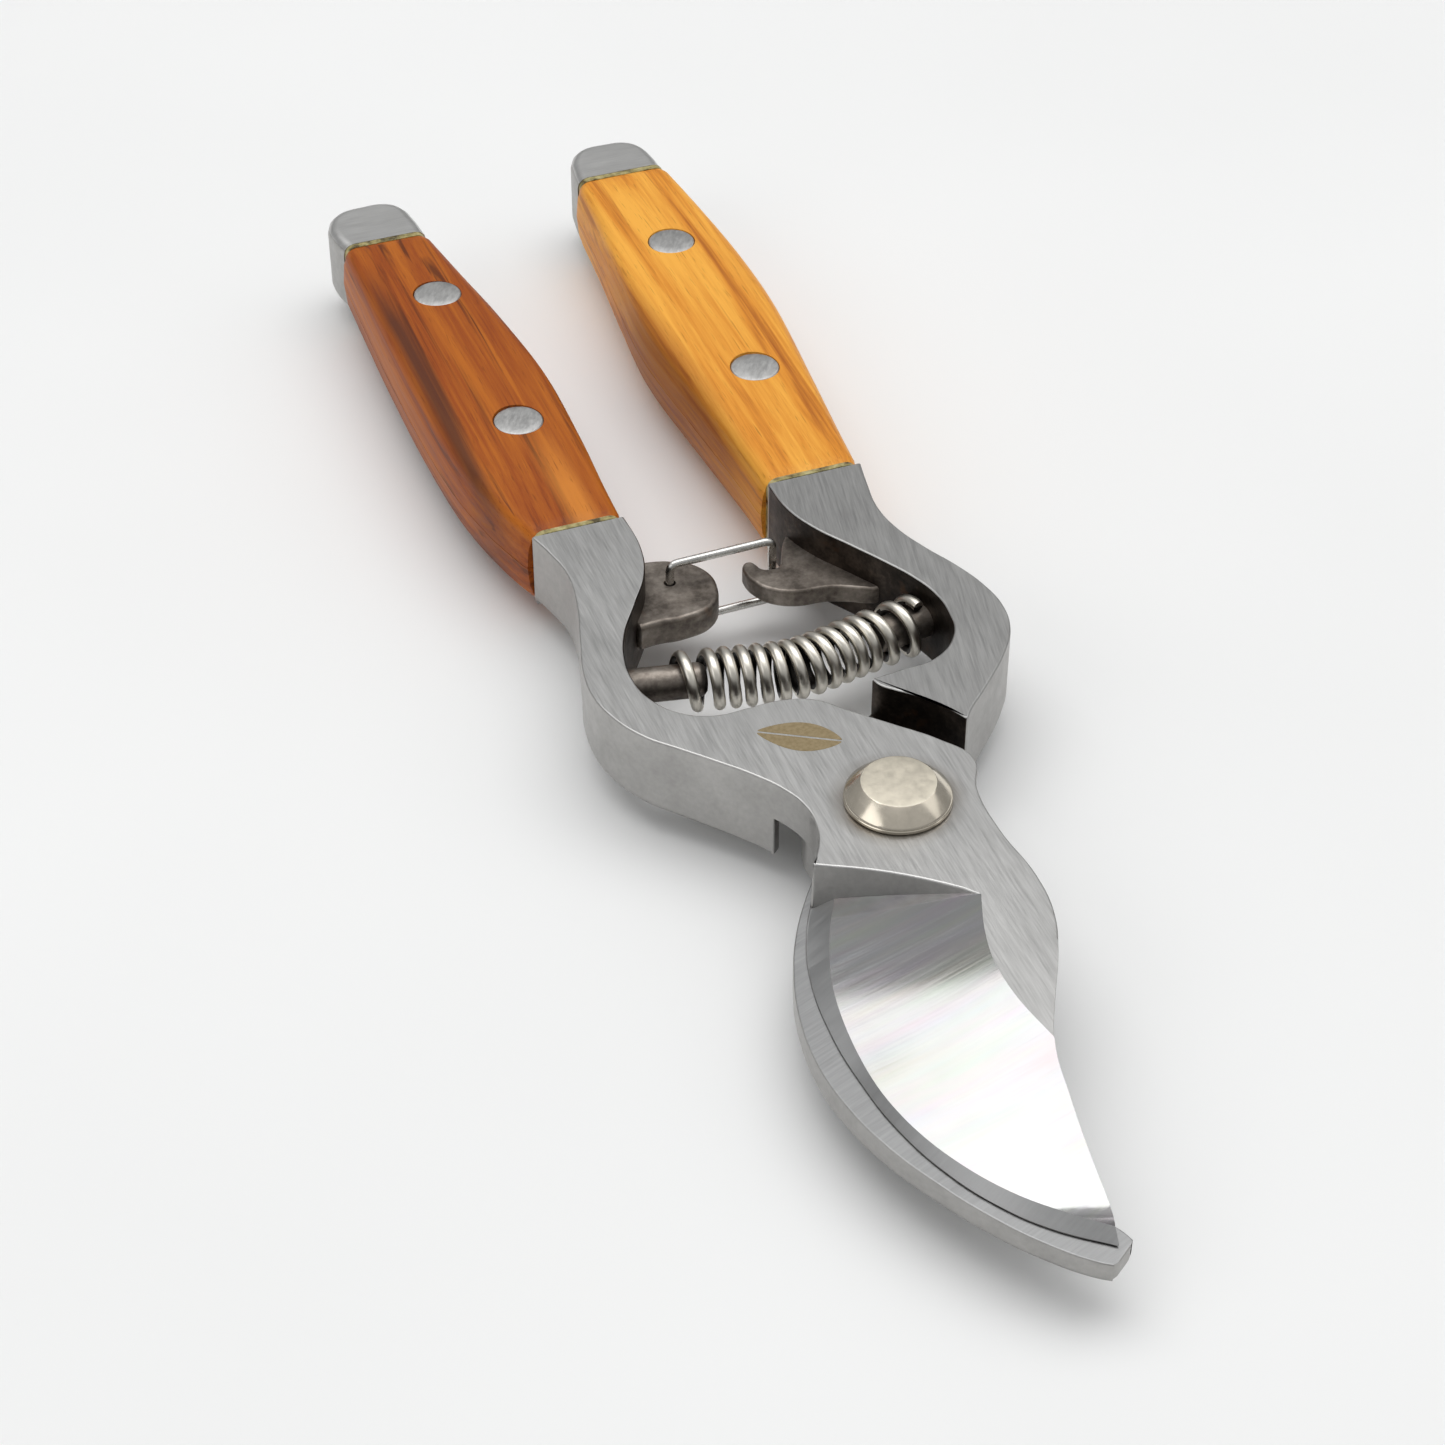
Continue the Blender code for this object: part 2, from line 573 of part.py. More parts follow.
def spring_places():
    """The wire's centre line: close coils in the middle, and open ones on the studs."""
    per_turn = 12
    count = round(SPRING_PACE[-1][0] * per_turn)
    places = []
    for step in range(count + 1):
        turns = step / per_turn
        share = share_at(SPRING_LINE, spring_reach(turns))
        x, y = along_line(SPRING_LINE, share)
        ahead = Vector(along_line(SPRING_LINE, min(share + 0.01, 1.0))) - Vector(along_line(SPRING_LINE, max(share - 0.01, 0.0)))
        side = Vector((-ahead.y, ahead.x)).normalized()
        angle = math.tau * (turns - 0.08)
        places.append((
            x + side.x * SPRING_RADIUS * math.cos(angle),
            y + side.y * SPRING_RADIUS * math.cos(angle),
            MID + SPRING_RADIUS * math.sin(angle),
        ))
    return places


def latch_places():
    hole, bar = LATCH_HOLE, LATCH_BAR
    return rounded_path([
        (*hole, LUG_TOP - 1.6), (*hole, LATCH_TOP), (*bar, LATCH_TOP), (*bar, LATCH_FOOT), (*hole, LATCH_FOOT),
        (*hole, LUG_BOTTOM + 1.2),
    ], 1.1)


def shade(objects):
    for obj in objects:
        if obj.type == "MESH":
            obj.data.shade_smooth()
            obj.data.set_sharp_from_angle(angle=math.radians(32))


def main():
    clear_scene()
    made = new_collection("bypass_pruner")
    cutters = new_collection("cutters")
    steel = material("forged_steel", (0.55, 0.55, 0.56), 0.38, 1.0)
    hook_steel = material("forged_steel_b", (0.55, 0.55, 0.56), 0.4, 1.0)
    nickel = material("nickel_bolt", (0.78, 0.73, 0.64), 0.2, 1.0)
    zinc = material("zinc_washer", (0.6, 0.6, 0.6), 0.4, 1.0)
    zinc_nut = material("zinc_nut", (0.58, 0.58, 0.58), 0.42, 1.0)
    spring_steel = material("spring_steel", (0.66, 0.62, 0.55), 0.22, 1.0)
    latch_steel = material("latch_steel", (0.6, 0.6, 0.58), 0.28, 1.0)
    black = material("dark_forged_stud", (0.16, 0.14, 0.13), 0.5, 1.0)
    rivet_metal = material("rivet_aluminium", (0.7, 0.7, 0.69), 0.42, 1.0)
    wood_a = material("reddish_wood", (0.36, 0.12, 0.03), 0.45, 0.0)
    wood_b = material("honey_wood", (0.52, 0.2, 0.05), 0.45, 0.0)

    arm_a = build_arm_a(made, cutters)
    arm_a.data.materials.append(steel)
    arm_b = build_arm_b(made, cutters)
    arm_b.data.materials.append(hook_steel)
    bolt, washer, nut = build_pivot(made)
    boolean(nut, rod("nut_bore", 2.6 + GAP, -2.0, 8.0, (0.0, 0.0), cutters, 24))
    for obj, look in ((bolt, nickel), (washer, zinc), (nut, zinc_nut)):
        obj.data.materials.append(look)

    handles = (
        ("a", WOOD_A, TANG_A, RIVETS_A, wood_a),
        ("b", WOOD_B, TANG_B, RIVETS_B, wood_b),
    )
    for letter, line, tang, rivets, wood in handles:
        for side, word in ((1, "top"), (-1, "bottom")):
            piece = scale(f"scale_{letter}_{word}", line, tang, rivets, side, made, cutters)
            piece.data.materials.append(wood)
        for place, word in zip(rivets, ("front", "rear")):
            pin = rivet(f"rivet_{letter}_{word}", place, line, made)
            pin.data.materials.append(rivet_metal)

    for letter, ends in (("a", STUD_A), ("b", STUD_B)):
        stud(f"spring_stud_{letter}", ends, made).data.materials.append(black)
    spring = wire("return_spring", spring_places(), SPRING_WIRE, made)
    spring.data.materials.append(spring_steel)
    latch = wire("latch_wire", latch_places(), LATCH_WIRE, made)
    latch.data.materials.append(latch_steel)
    shade(made.objects)


main()
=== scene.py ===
"""Looks of the bypass pruner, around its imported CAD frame. Lengths in the constants are millimetres."""

import math

import bmesh
import bpy
from mathutils import Matrix, Vector
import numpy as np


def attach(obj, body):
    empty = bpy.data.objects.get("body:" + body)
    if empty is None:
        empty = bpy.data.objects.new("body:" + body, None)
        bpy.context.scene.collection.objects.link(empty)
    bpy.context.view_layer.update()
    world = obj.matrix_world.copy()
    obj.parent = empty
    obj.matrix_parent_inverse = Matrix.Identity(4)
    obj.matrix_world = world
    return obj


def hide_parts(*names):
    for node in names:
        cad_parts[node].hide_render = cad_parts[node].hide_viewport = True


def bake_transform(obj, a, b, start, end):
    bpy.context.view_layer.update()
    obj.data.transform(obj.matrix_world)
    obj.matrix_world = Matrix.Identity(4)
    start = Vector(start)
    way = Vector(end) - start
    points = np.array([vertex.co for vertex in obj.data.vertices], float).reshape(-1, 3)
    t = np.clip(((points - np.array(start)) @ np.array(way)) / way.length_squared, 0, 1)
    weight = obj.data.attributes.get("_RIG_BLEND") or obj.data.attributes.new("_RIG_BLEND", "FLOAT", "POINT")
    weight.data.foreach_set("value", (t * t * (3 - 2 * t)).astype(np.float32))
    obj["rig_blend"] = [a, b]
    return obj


MM = 0.001

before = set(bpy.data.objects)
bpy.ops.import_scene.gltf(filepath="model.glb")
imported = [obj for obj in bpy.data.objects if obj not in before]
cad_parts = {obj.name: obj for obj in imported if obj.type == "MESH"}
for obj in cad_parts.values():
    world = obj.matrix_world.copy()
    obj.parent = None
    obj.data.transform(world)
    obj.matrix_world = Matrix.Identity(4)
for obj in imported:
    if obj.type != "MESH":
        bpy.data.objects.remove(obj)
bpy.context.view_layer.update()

# Heights of the layers. They are the CAD's own, but its plates are further apart.
ARM_BOTTOM = 3.0
ARM_TOP = 13.0
MID = 8.0
LAP_GAP = 0.06
PLATE_A_BOTTOM = MID + LAP_GAP / 2
PLATE_B_TOP = MID - LAP_GAP / 2
HOOK_BOTTOM = 4.1
HOOK_TAPER = 0.023

# Outlines seen from above, as x and y. A third value makes a sharp corner.
BOW_A_OUTER = [
    (-21.4, 56.4, 1), (-20.4, 52.5), (-19.8, 48.4), (-20.4, 43.4), (-22.3, 36.5), (-23.8, 31.0),
    (-24.1, 27.0), (-23.4, 23.2), (-21.3, 18.8), (-18.4, 15.5), (-15.5, 12.3), (-12.6, 8.9),
    (-10.5, 5.7), (-9.4, 2.6), (-9.4, -0.6), (-10.2, -3.2),
]
BLADE_EDGE = [
    (-12.1, -6.3, 1), (-14.1, -9.9), (-16.3, -16.0), (-17.4, -24.5), (-17.2, -31.3), (-16.2, -38.4),
    (-14.0, -45.2), (-11.2, -50.4), (-8.0, -54.4), (-3.0, -58.6, 1),
]
BLADE_SPINE = [
    (-2.7, -56.4, 1), (-2.1, -50.5), (-1.0, -43.4), (0.3, -37.2), (2.7, -32.2), (5.9, -26.2),
    (8.0, -20.8), (8.6, -15.4), (8.0, -8.0), (8.4, -1.4), (10.1, 3.4),
]
BOW_A_INNER = [
    (7.9, 7.4), (4.6, 11.1), (0.9, 15.0), (-2.0, 18.1), (-5.5, 19.3), (-9.5, 19.3), (-12.9, 19.4),
    (-16.3, 21.2), (-18.5, 24.6), (-19.1, 28.4), (-18.7, 31.8), (-17.3, 35.8), (-14.4, 40.5),
    (-11.6, 45.2), (-10.3, 50.0), (-10.2, 56.4, 1),
]
BOW_B_INNER = [
    (7.6, 56.4, 1), (7.9, 51.0), (9.3, 46.8), (12.1, 41.9), (14.4, 37.9), (16.3, 34.2),
    (17.5, 30.4), (17.6, 26.9), (16.6, 23.1), (12.9, 19.9), (8.5, 19.4), (4.9, 18.9), (1.6, 17.4),
    (-0.9, 15.0), (-4.6, 11.1), (-7.4, 7.6), (-8.8, 3.8), (-8.7, 0.8),
]
HOOK_OUTER = [
    (-10.4, -2.6), (-12.4, -5.4), (-15.2, -9.8), (-17.6, -15.0), (-19.3, -20.6), (-20.1, -27.0),
    (-19.6, -33.4), (-18.0, -39.6), (-15.5, -45.4), (-12.5, -50.9), (-9.2, -55.6), (-5.5, -59.5),
    (-4.2, -60.4, 1), (-1.3, -58.3, 1),
]
HOOK_INNER = [
    (-1.9, -56.6), (-5.8, -51.0), (-9.0, -44.5), (-10.8, -37.0), (-11.0, -29.0), (-9.4, -21.5),
    (-5.6, -15.0), (0.2, -10.0), (5.6, -5.4), (8.6, -0.6), (9.6, 4.4),
]
BOW_B_OUTER = [
    (12.6, 9.9), (15.9, 13.2), (20.6, 18.2), (22.9, 21.8), (23.8, 25.8), (23.4, 29.8), (22.0, 34.2),
    (20.0, 38.6), (18.4, 43.2), (17.9, 47.6), (18.6, 52.4), (19.4, 56.4, 1),
]
STEP_A = [
    (-4.6, 19.4, 1), (-5.2, 17.2), (-7.0, 14.8), (-8.6, 12.0), (-9.6, 9.4), (-10.1, 7.6, 1),
    (-13.5, 4.4, 1), (-24.0, 2.0, 1), (-24.0, -64.0, 1), (16.0, -64.0, 1), (16.0, 0.0, 1),
    (12.0, 24.0, 1), (-3.6, 24.0, 1),
]
STEP_B = [
    (5.0, 19.4, 1), (5.4, 17.9), (6.7, 16.4), (8.1, 15.1), (9.6, 13.3), (11.0, 11.2),
    (11.9, 9.4, 1), (16.0, 6.0, 1), (16.0, -64.0, 1), (-24.0, -64.0, 1), (-24.0, 0.0, 1),
    (-12.0, 24.0, 1), (3.6, 24.0, 1),
]
GRIND_TOP = [
    (2.2, -16.0), (0.4, -20.8), (-0.6, -25.6), (-0.5, -31.0), (0.6, -37.2), (1.8, -45.0),
    (3.4, -54.0), (4.6, -63.0), (5.4, -72.0),
]
GRIND_INNER = [
    (-10.4, -8.2), (-13.0, -13.2), (-15.3, -20.0), (-16.2, -28.0), (-15.8, -35.6), (-13.6, -43.2),
    (-9.4, -50.6), (-2.6, -57.3), (5.0, -63.5),
]
GRIND_EDGE = [
    (-12.2, -6.9), (-15.2, -12.6), (-17.1, -19.6), (-17.4, -28.0), (-16.5, -36.7), (-14.2, -44.8),
    (-10.2, -51.9), (-3.0, -58.8), (5.0, -65.2),
]
GRIND_INNER_HEIGHT = [1.35, 1.3, 1.1, 0.8, 0.8, 0.95, 1.2, 1.25, 1.25]
EDGE_THICKNESS = 0.06
GRIND_WALL = [(2.2, -16.0, 13.0), (-11.7, -6.2, 13.0), (-10.4, -8.2, 9.5)]
GRIND_WALL_BOW = 0.8
LUG = [
    (-14.0, 40.3, 1), (-12.0, 40.5), (-8.6, 40.3), (-4.8, 41.4), (-3.0, 44.8), (-3.5, 48.4),
    (-6.4, 50.9), (-9.6, 51.8), (-12.6, 51.8, 1), (-15.5, 46.0, 1),
]
LATCH_HOOK = [
    (2.7, 47.3), (2.4, 47.9), (1.8, 48.1), (1.15, 47.6), (0.9, 46.4), (1.2, 44.6), (2.4, 42.5),
    (5.0, 40.9), (9.0, 40.3), (13.5, 38.2, 1), (16.5, 38.2, 1), (12.5, 50.5, 1), (8.6, 52.0, 1),
    (7.2, 50.2), (6.0, 47.8), (5.1, 46.1), (4.2, 45.9), (3.1, 46.3),
]
BUTT_A = [
    (-24.6, 124.0, 1), (-25.2, 127.0), (-24.9, 130.4), (-23.1, 132.6), (-19.6, 133.3),
    (-16.2, 132.9), (-14.5, 131.2), (-13.8, 128.0), (-13.5, 124.0, 1),
]
BUTT_B = [
    (9.0, 128.9, 1), (9.4, 132.0), (10.2, 135.0), (12.0, 136.8), (15.4, 137.2), (18.6, 136.6),
    (20.2, 134.8), (20.8, 132.0), (20.9, 128.9, 1),
]
# Sections of the wood: y, left side, right side. The tangs have y and their middle.
WOOD_A = [
    (56.7, -21.3, -10.2), (64.0, -23.4, -9.9), (74.0, -25.0, -9.3), (88.0, -25.5, -9.0),
    (102.0, -25.4, -10.3), (113.0, -25.1, -11.9), (123.7, -24.7, -13.4),
]
WOOD_B = [
    (56.7, 7.5, 19.3), (64.0, 7.3, 20.0), (76.0, 6.5, 21.3), (92.0, 5.6, 22.9), (105.0, 6.6, 23.0),
    (117.0, 7.9, 22.3), (128.6, 8.9, 21.3),
]
TANG_A = [(53.0, -16.0), (78.0, -16.2), (108.0, -17.3), (126.0, -18.9)]
TANG_B = [(53.0, 13.5), (78.0, 14.1), (108.0, 14.9), (131.0, 15.1)]
RIVETS_A = [(-15.9, 77.8), (-16.8, 107.9)]
RIVETS_B = [(14.6, 78.3), (15.0, 108.9)]
STUD_A = [(-20.2, 33.2), (-9.5, 30.97)]
STUD_B = [(19.2, 32.4), (10.6, 31.03)]
SPRING_LINE = [(-14.6, 32.0), (-7.0, 30.35), (0.4, 29.15), (8.0, 30.4), (17.0, 32.0)]
LATCH_HOLE = (-8.0, 46.9)
LATCH_BAR = (4.6, 47.1)
LATCH_TOP = 12.0
LATCH_FOOT = 3.6
LATCH_WIRE = 0.5
LATCH_BEND = 1.1
SPRING_RADIUS = 2.87
SPRING_WIRE = 0.68
# The turns wound, and the x that the wire has reached after them.
SPRING_PACE = [
    (0.0, -12.9), (0.25, -12.2), (1.25, -9.2), (12.25, 10.3), (13.25, 13.4), (14.35, 15.9),
]
STUD_RADIUS = 2.0
SHANK_RADIUS = 4.0
RIVET_RADIUS = 3.0
CROWN = 1.0
SIDE_BULGE = 0.5
CORNER_ROUND = 1.5

TANG_HALF_WIDTH = 4.0
TANG_HALF_HEIGHT = 2.0
BORE_PLAY = 0.1
RIVET_PLAY = 0.06
LATCH_PLAY = 0.15
BUTTS_FROM = 120.0
BAY_MIDDLE = 31.0
HOLLOW = 0.35
# Points closer than these are joined, in built meshes and in meshes made from curves.
WELD = 0.0003
CURVE_WELD = 0.0005


# ---- mesh tools


def add_object(name, data):
    obj = bpy.data.objects.new(name, data)
    bpy.context.scene.collection.objects.link(obj)
    return obj


def drop(obj):
    data = obj.data
    kind = obj.type
    bpy.data.objects.remove(obj, do_unlink=True)
    if kind == "MESH":
        bpy.data.meshes.remove(data)
    else:
        bpy.data.curves.remove(data)


def from_bmesh(bm, name):
    """Turns a bmesh in millimetres into an object in metres."""
    bmesh.ops.remove_doubles(bm, verts=bm.verts[:], dist=WELD)
    bmesh.ops.recalc_face_normals(bm, faces=bm.faces[:])
    bmesh.ops.scale(bm, vec=(MM, MM, MM), verts=bm.verts[:])
    mesh = bpy.data.meshes.new(name)
    bm.to_mesh(mesh)
    bm.free()
    return add_object(name, mesh)


def applied(obj, name=None):
    """Replaces an object by the mesh that its modifiers make, in world space."""
    bpy.context.view_layer.update()
    graph = bpy.context.evaluated_depsgraph_get()
    mesh = bpy.data.meshes.new_from_object(obj.evaluated_get(graph))
    mesh.transform(obj.matrix_world)
    wanted = name or obj.name
    drop(obj)
    mesh.name = wanted
    return add_object(wanted, mesh)


def slab(name, outline, low, high, resolution=8):
    """A flat outline raised from one height to another."""
    curve = bpy.data.curves.new(name, "CURVE")
    curve.dimensions = "2D"
    curve.fill_mode = "BOTH"
    curve.resolution_u = resolution
    curve.extrude = (high - low) / 2 * MM
    spline = curve.splines.new("BEZIER")
    spline.bezier_points.add(len(outline) - 1)
    spline.use_cyclic_u = True
    for knot, place in zip(spline.bezier_points, outline):
        knot.co = (place[0] * MM, place[1] * MM, 0.0)
        kind = "VECTOR" if len(place) > 2 else "AUTO"
        knot.handle_left_type = kind
        knot.handle_right_type = kind
    flat = add_object(name + "_line", curve)
    flat.location.z = (low + high) / 2 * MM
    obj = applied(flat, name)
    bm = bmesh.new()
    bm.from_mesh(obj.data)
    bmesh.ops.remove_doubles(bm, verts=bm.verts[:], dist=CURVE_WELD * MM)
    flats = [e for e in bm.edges if all(abs(f.normal.z) > 0.999 for f in e.link_faces)]
    bmesh.ops.dissolve_edges(bm, edges=flats, use_verts=False)
    bmesh.ops.recalc_face_normals(bm, faces=bm.faces[:])
    bm.to_mesh(obj.data)
    bm.free()
    return obj


def shell(name, columns, rows, place):
    """A closed skin: a grid whose first side runs around a section and whose second runs along the body."""
    bm = bmesh.new()
    bmesh.ops.create_grid(bm, x_segments=columns, y_segments=rows, size=1.0)
    for vert in bm.verts:
        around = round((vert.co.x + 1.0) / 2.0 * columns) % columns
        along = (vert.co.y + 1.0) / 2.0
        vert.co = place(around, along)
    bmesh.ops.remove_doubles(bm, verts=bm.verts[:], dist=WELD)
    bmesh.ops.holes_fill(bm, edges=bm.edges[:], sides=0)
    return from_bmesh(bm, name)


def turned(name, profile, steps=64, place=None):
    """A turned shape about +Z, from (radius, height) pairs, then put in place by a matrix."""
    bm = bmesh.new()
    spots = [bm.verts.new((radius, 0.0, height)) for radius, height in profile]
    edges = [bm.edges.new(pair) for pair in zip(spots, spots[1:])]
    bmesh.ops.spin(
        bm, geom=spots + edges, cent=(0, 0, 0), axis=(0, 0, 1), angle=math.tau, steps=steps, use_merge=True,
    )
    if place is not None:
        bmesh.ops.transform(bm, matrix=place, verts=bm.verts[:])
    return from_bmesh(bm, name)


def rod(name, radius, low, high, centre, sides=48):
    bm = bmesh.new()
    bmesh.ops.create_cone(
        bm, cap_ends=True, segments=sides, radius1=radius, radius2=radius, depth=high - low,
        matrix=Matrix.Translation((centre[0], centre[1], (low + high) / 2)),
    )
    return from_bmesh(bm, name)


def boolean(obj, other, operation="DIFFERENCE", crossing=False):
    """Carries out one exact Boolean and uses up the other object, whose faces keep their material numbers."""
    while len(other.data.materials) < len(obj.data.materials):
        other.data.materials.append(obj.data.materials[len(other.data.materials)])
    step = obj.modifiers.new("step", "BOOLEAN")
    step.operation = operation
    step.solver = "EXACT"
    step.object = other
    step.material_mode = "INDEX"
    step.use_self = crossing
    done = applied(obj)
    drop(other)
    return done


def wire(name, places, radius):
    """A round wire along a row of places."""
    curve = bpy.data.curves.new(name, "CURVE")
    curve.dimensions = "3D"
    curve.bevel_depth = radius * MM
    curve.bevel_resolution = 5
    curve.use_fill_caps = True
    spline = curve.splines.new("POLY")
    spline.points.add(len(places) - 1)
    for point, place in zip(spline.points, places):
        point.co = (place[0] * MM, place[1] * MM, place[2] * MM, 1.0)
    obj = applied(add_object(name + "_line", curve), name)
    bm = bmesh.new()
    bm.from_mesh(obj.data)
    bmesh.ops.remove_doubles(bm, verts=bm.verts[:], dist=CURVE_WELD * MM)
    bm.to_mesh(obj.data)
    bm.free()
    return obj


def along_line(line, t):
    """The point at share t of a smooth line through evenly spaced knots."""
    spans = len(line) - 1
    span = min(int(t * spans), spans - 1)
    u = t * spans - span
    knots = [line[min(max(span + k, 0), spans)] for k in (-1, 0, 1, 2)]
    found = []
    for a, b, c, d in zip(*knots):
        square = (2 * a - 5 * b + 4 * c - d) * u**2
        cube = (3 * b - a - 3 * c + d) * u**3
        found.append(0.5 * (2 * b + (c - a) * u + square + cube))
    return found


def share_at(line, wanted):
    """The share of a line at which its first number reaches the wanted one."""
    low, high = 0.0, 1.0
    for _ in range(30):
        middle = (low + high) / 2
        if along_line(line, middle)[0] < wanted:
            low = middle
        else:
            high = middle
    return low


def rounded_path(corners, radius, steps=8):
    """The places along a path whose inner corners are rounded."""
    corners = [Vector(corner) for corner in corners]
    places = [corners[0]]
    for before, corner, after in zip(corners, corners[1:], corners[2:]):
        start = corner + (before - corner).normalized() * radius
        end = corner + (after - corner).normalized() * radius
        for step in range(steps + 1):
            t = step / steps
            places.append(start * (1 - t) ** 2 + corner * 2 * t * (1 - t) + end * t**2)
    return places + [corners[-1]]


def smooth(obj, angle):
    obj.data.shade_smooth()
    obj.data.set_sharp_from_angle(angle=math.radians(angle))


ROUNDED_ANGLE = math.radians(28)


def round_edges(obj, width, weight_of, segments=3):
    """Rounds each edge by its own share of width. Ground lines stay crisp and flat faces stay flat."""
    bm = bmesh.new()
    bm.from_mesh(obj.data)
    layers = bm.edges.layers.float
    layer = layers.get("bevel_weight_edge") or layers.new("bevel_weight_edge")
    for edge in bm.edges:
        if len(edge.link_faces) == 2 and edge.calc_face_angle(0.0) > ROUNDED_ANGLE:
            edge[layer] = weight_of(edge)
        else:
            edge[layer] = 0.0
    bm.to_mesh(obj.data)
    bm.free()
    step = obj.modifiers.new("edges", "BEVEL")
    step.limit_method = "WEIGHT"
    step.width = width * MM
    step.segments = segments
    step.use_clamp_overlap = False
    step.miter_outer = "MITER_ARC"
    obj.data.shade_smooth()
    done = applied(obj)
    done.data.set_sharp_from_angle(angle=math.radians(35))
    bm = bmesh.new()
    bm.from_mesh(done.data)
    ground = {SPECIALS["grind"], SPECIALS["bevel"], SPECIALS["wall"]}
    for edge in bm.edges:
        looks = {face.material_index for face in edge.link_faces}
        if len(looks) == 2 and looks & ground:
            edge.smooth = False
    bm.to_mesh(done.data)
    bm.free()
    flat = done.modifiers.new("normals", "WEIGHTED_NORMAL")
    flat.keep_sharp = True
    flat.weight = 60
    return done


def piece(obj, body, slot_name, *nodes):
    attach(obj, body)
    if nodes:
        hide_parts(*nodes)
    return obj


# ---- material tools


class Nodes:
    """A short way to write a node tree."""

    def __init__(self, name):
        self.material = bpy.data.materials.new(name)
        self.material.use_nodes = True
        self.tree = self.material.node_tree
        self.shader = self.tree.nodes["Principled BSDF"]
        self.place = self.add("ShaderNodeTexCoord").outputs["Object"]

    def add(self, kind, **settings):
        node = self.tree.nodes.new(kind)
        for key, value in settings.items():
            setattr(node, key, value)
        return node

    def join(self, source, target):
        self.tree.links.new(source, target)

    def fill(self, socket, value):
        if isinstance(value, bpy.types.NodeSocket):
            self.join(value, socket)
        else:
            socket.default_value = value

    def mapped(self, scale, turn, shift):
        """Turns the object's own coordinates first and stretches them afterwards."""
        turned_to = self.add("ShaderNodeMapping")
        turned_to.inputs["Rotation"].default_value = (0, 0, math.radians(turn))
        self.join(self.place, turned_to.inputs["Vector"])
        node = self.add("ShaderNodeMapping")
        node.inputs["Location"].default_value = shift
        node.inputs["Scale"].default_value = scale
        self.join(turned_to.outputs["Vector"], node.inputs["Vector"])
        return node.outputs["Vector"]

    def noise(self, scale, detail, rough, turn=0.0, shift=(0, 0, 0), distortion=0.0):
        """Noise with its own scale along each axis, or one scale for all three."""
        scales = scale if isinstance(scale, tuple) else (scale, scale, scale)
        vector = self.mapped(scales, turn, shift)
        node = self.add("ShaderNodeTexNoise")
        self.join(vector, node.inputs["Vector"])
        node.inputs["Scale"].default_value = 1.0
        node.inputs["Detail"].default_value = detail
        node.inputs["Roughness"].default_value = rough
        node.inputs["Distortion"].default_value = distortion
        return node.outputs["Fac"]

    def ramp(self, value, stops):
        node = self.add("ShaderNodeValToRGB")
        while len(node.color_ramp.elements) < len(stops):
            node.color_ramp.elements.new(0.5)
        for element, (where, colour) in zip(node.color_ramp.elements, stops):
            element.position = where
            element.color = (*colour, 1.0)
        self.fill(node.inputs["Fac"], value)
        return node.outputs["Color"]

    def span(self, value, low, high, to_low=0.0, to_high=1.0):
        """Maps a value from one range to another and stops at its ends."""
        node = self.add("ShaderNodeMapRange")
        self.fill(node.inputs["Value"], value)
        node.inputs["From Min"].default_value = low
        node.inputs["From Max"].default_value = high
        node.inputs["To Min"].default_value = to_low
        node.inputs["To Max"].default_value = to_high
        return node.outputs["Result"]

    def math(self, kind, first, second=0.0):
        node = self.add("ShaderNodeMath", operation=kind)
        self.fill(node.inputs[0], first)
        self.fill(node.inputs[1], second)
        return node.outputs[0]

    def product(self, first, second):
        return self.math("MULTIPLY", first, second)

    def tinted(self, shade, tone, tint):
        """A colour from one grey shade, with a level of its own for red, green and blue."""
        node = self.add("ShaderNodeCombineColor")
        for socket, share in zip(node.inputs, tint):
            self.join(self.product(shade, tone * share), socket)
        return node.outputs[0]

    def band(self, value, middle, inner, outer):
        """1 within the inner distance of the middle, falling to 0 at the outer one."""
        away = self.math("ABSOLUTE", self.math("SUBTRACT", value, middle))
        return self.math("SUBTRACT", 1.0, self.span(away, inner, outer))

    def mix(self, share, first, second):
        node = self.add("ShaderNodeMix", data_type="RGBA")
        self.fill(node.inputs[0], share)
        for socket, value in ((node.inputs[6], first), (node.inputs[7], second)):
            self.fill(socket, (*value, 1.0) if isinstance(value, tuple) else value)
        return node.outputs[2]

    def axes(self):
        node = self.add("ShaderNodeSeparateXYZ")
        self.join(self.place, node.inputs[0])
        return node.outputs

    def bump(self, height, distance, strength=1.0):
        node = self.add("ShaderNodeBump")
        node.inputs["Strength"].default_value = strength
        node.inputs["Distance"].default_value = distance
        self.join(height, node.inputs["Height"])
        self.join(node.outputs["Normal"], self.shader.inputs["Normal"])

    def finish(self, colour, rough, metallic=0.0, coat=0.0):
        self.fill(self.shader.inputs["Base Color"], colour)
        self.fill(self.shader.inputs["Roughness"], rough)
        self.shader.inputs["Metallic"].default_value = metallic
        self.shader.inputs["Coat Weight"].default_value = coat
        self.shader.inputs["Coat Roughness"].default_value = 0.18
        self.shader.inputs["IOR"].default_value = 1.5
        return self.material


BOLT_HEAD_SHADE = (0.13, 0.095, 0.06)
GRIME_AND_SHADE = (0.022, 0.016, 0.012)
RUST = (0.14, 0.062, 0.022)
# Metres: from clean steel to full painted shade around the bolt head, and along +Y to full grime and painted
# shade behind it.
BOLT_HEAD_SHADE_REACH = (0.0076, 0.0058)
GRIME_AND_SHADE_REACH = (0.009, 0.014)


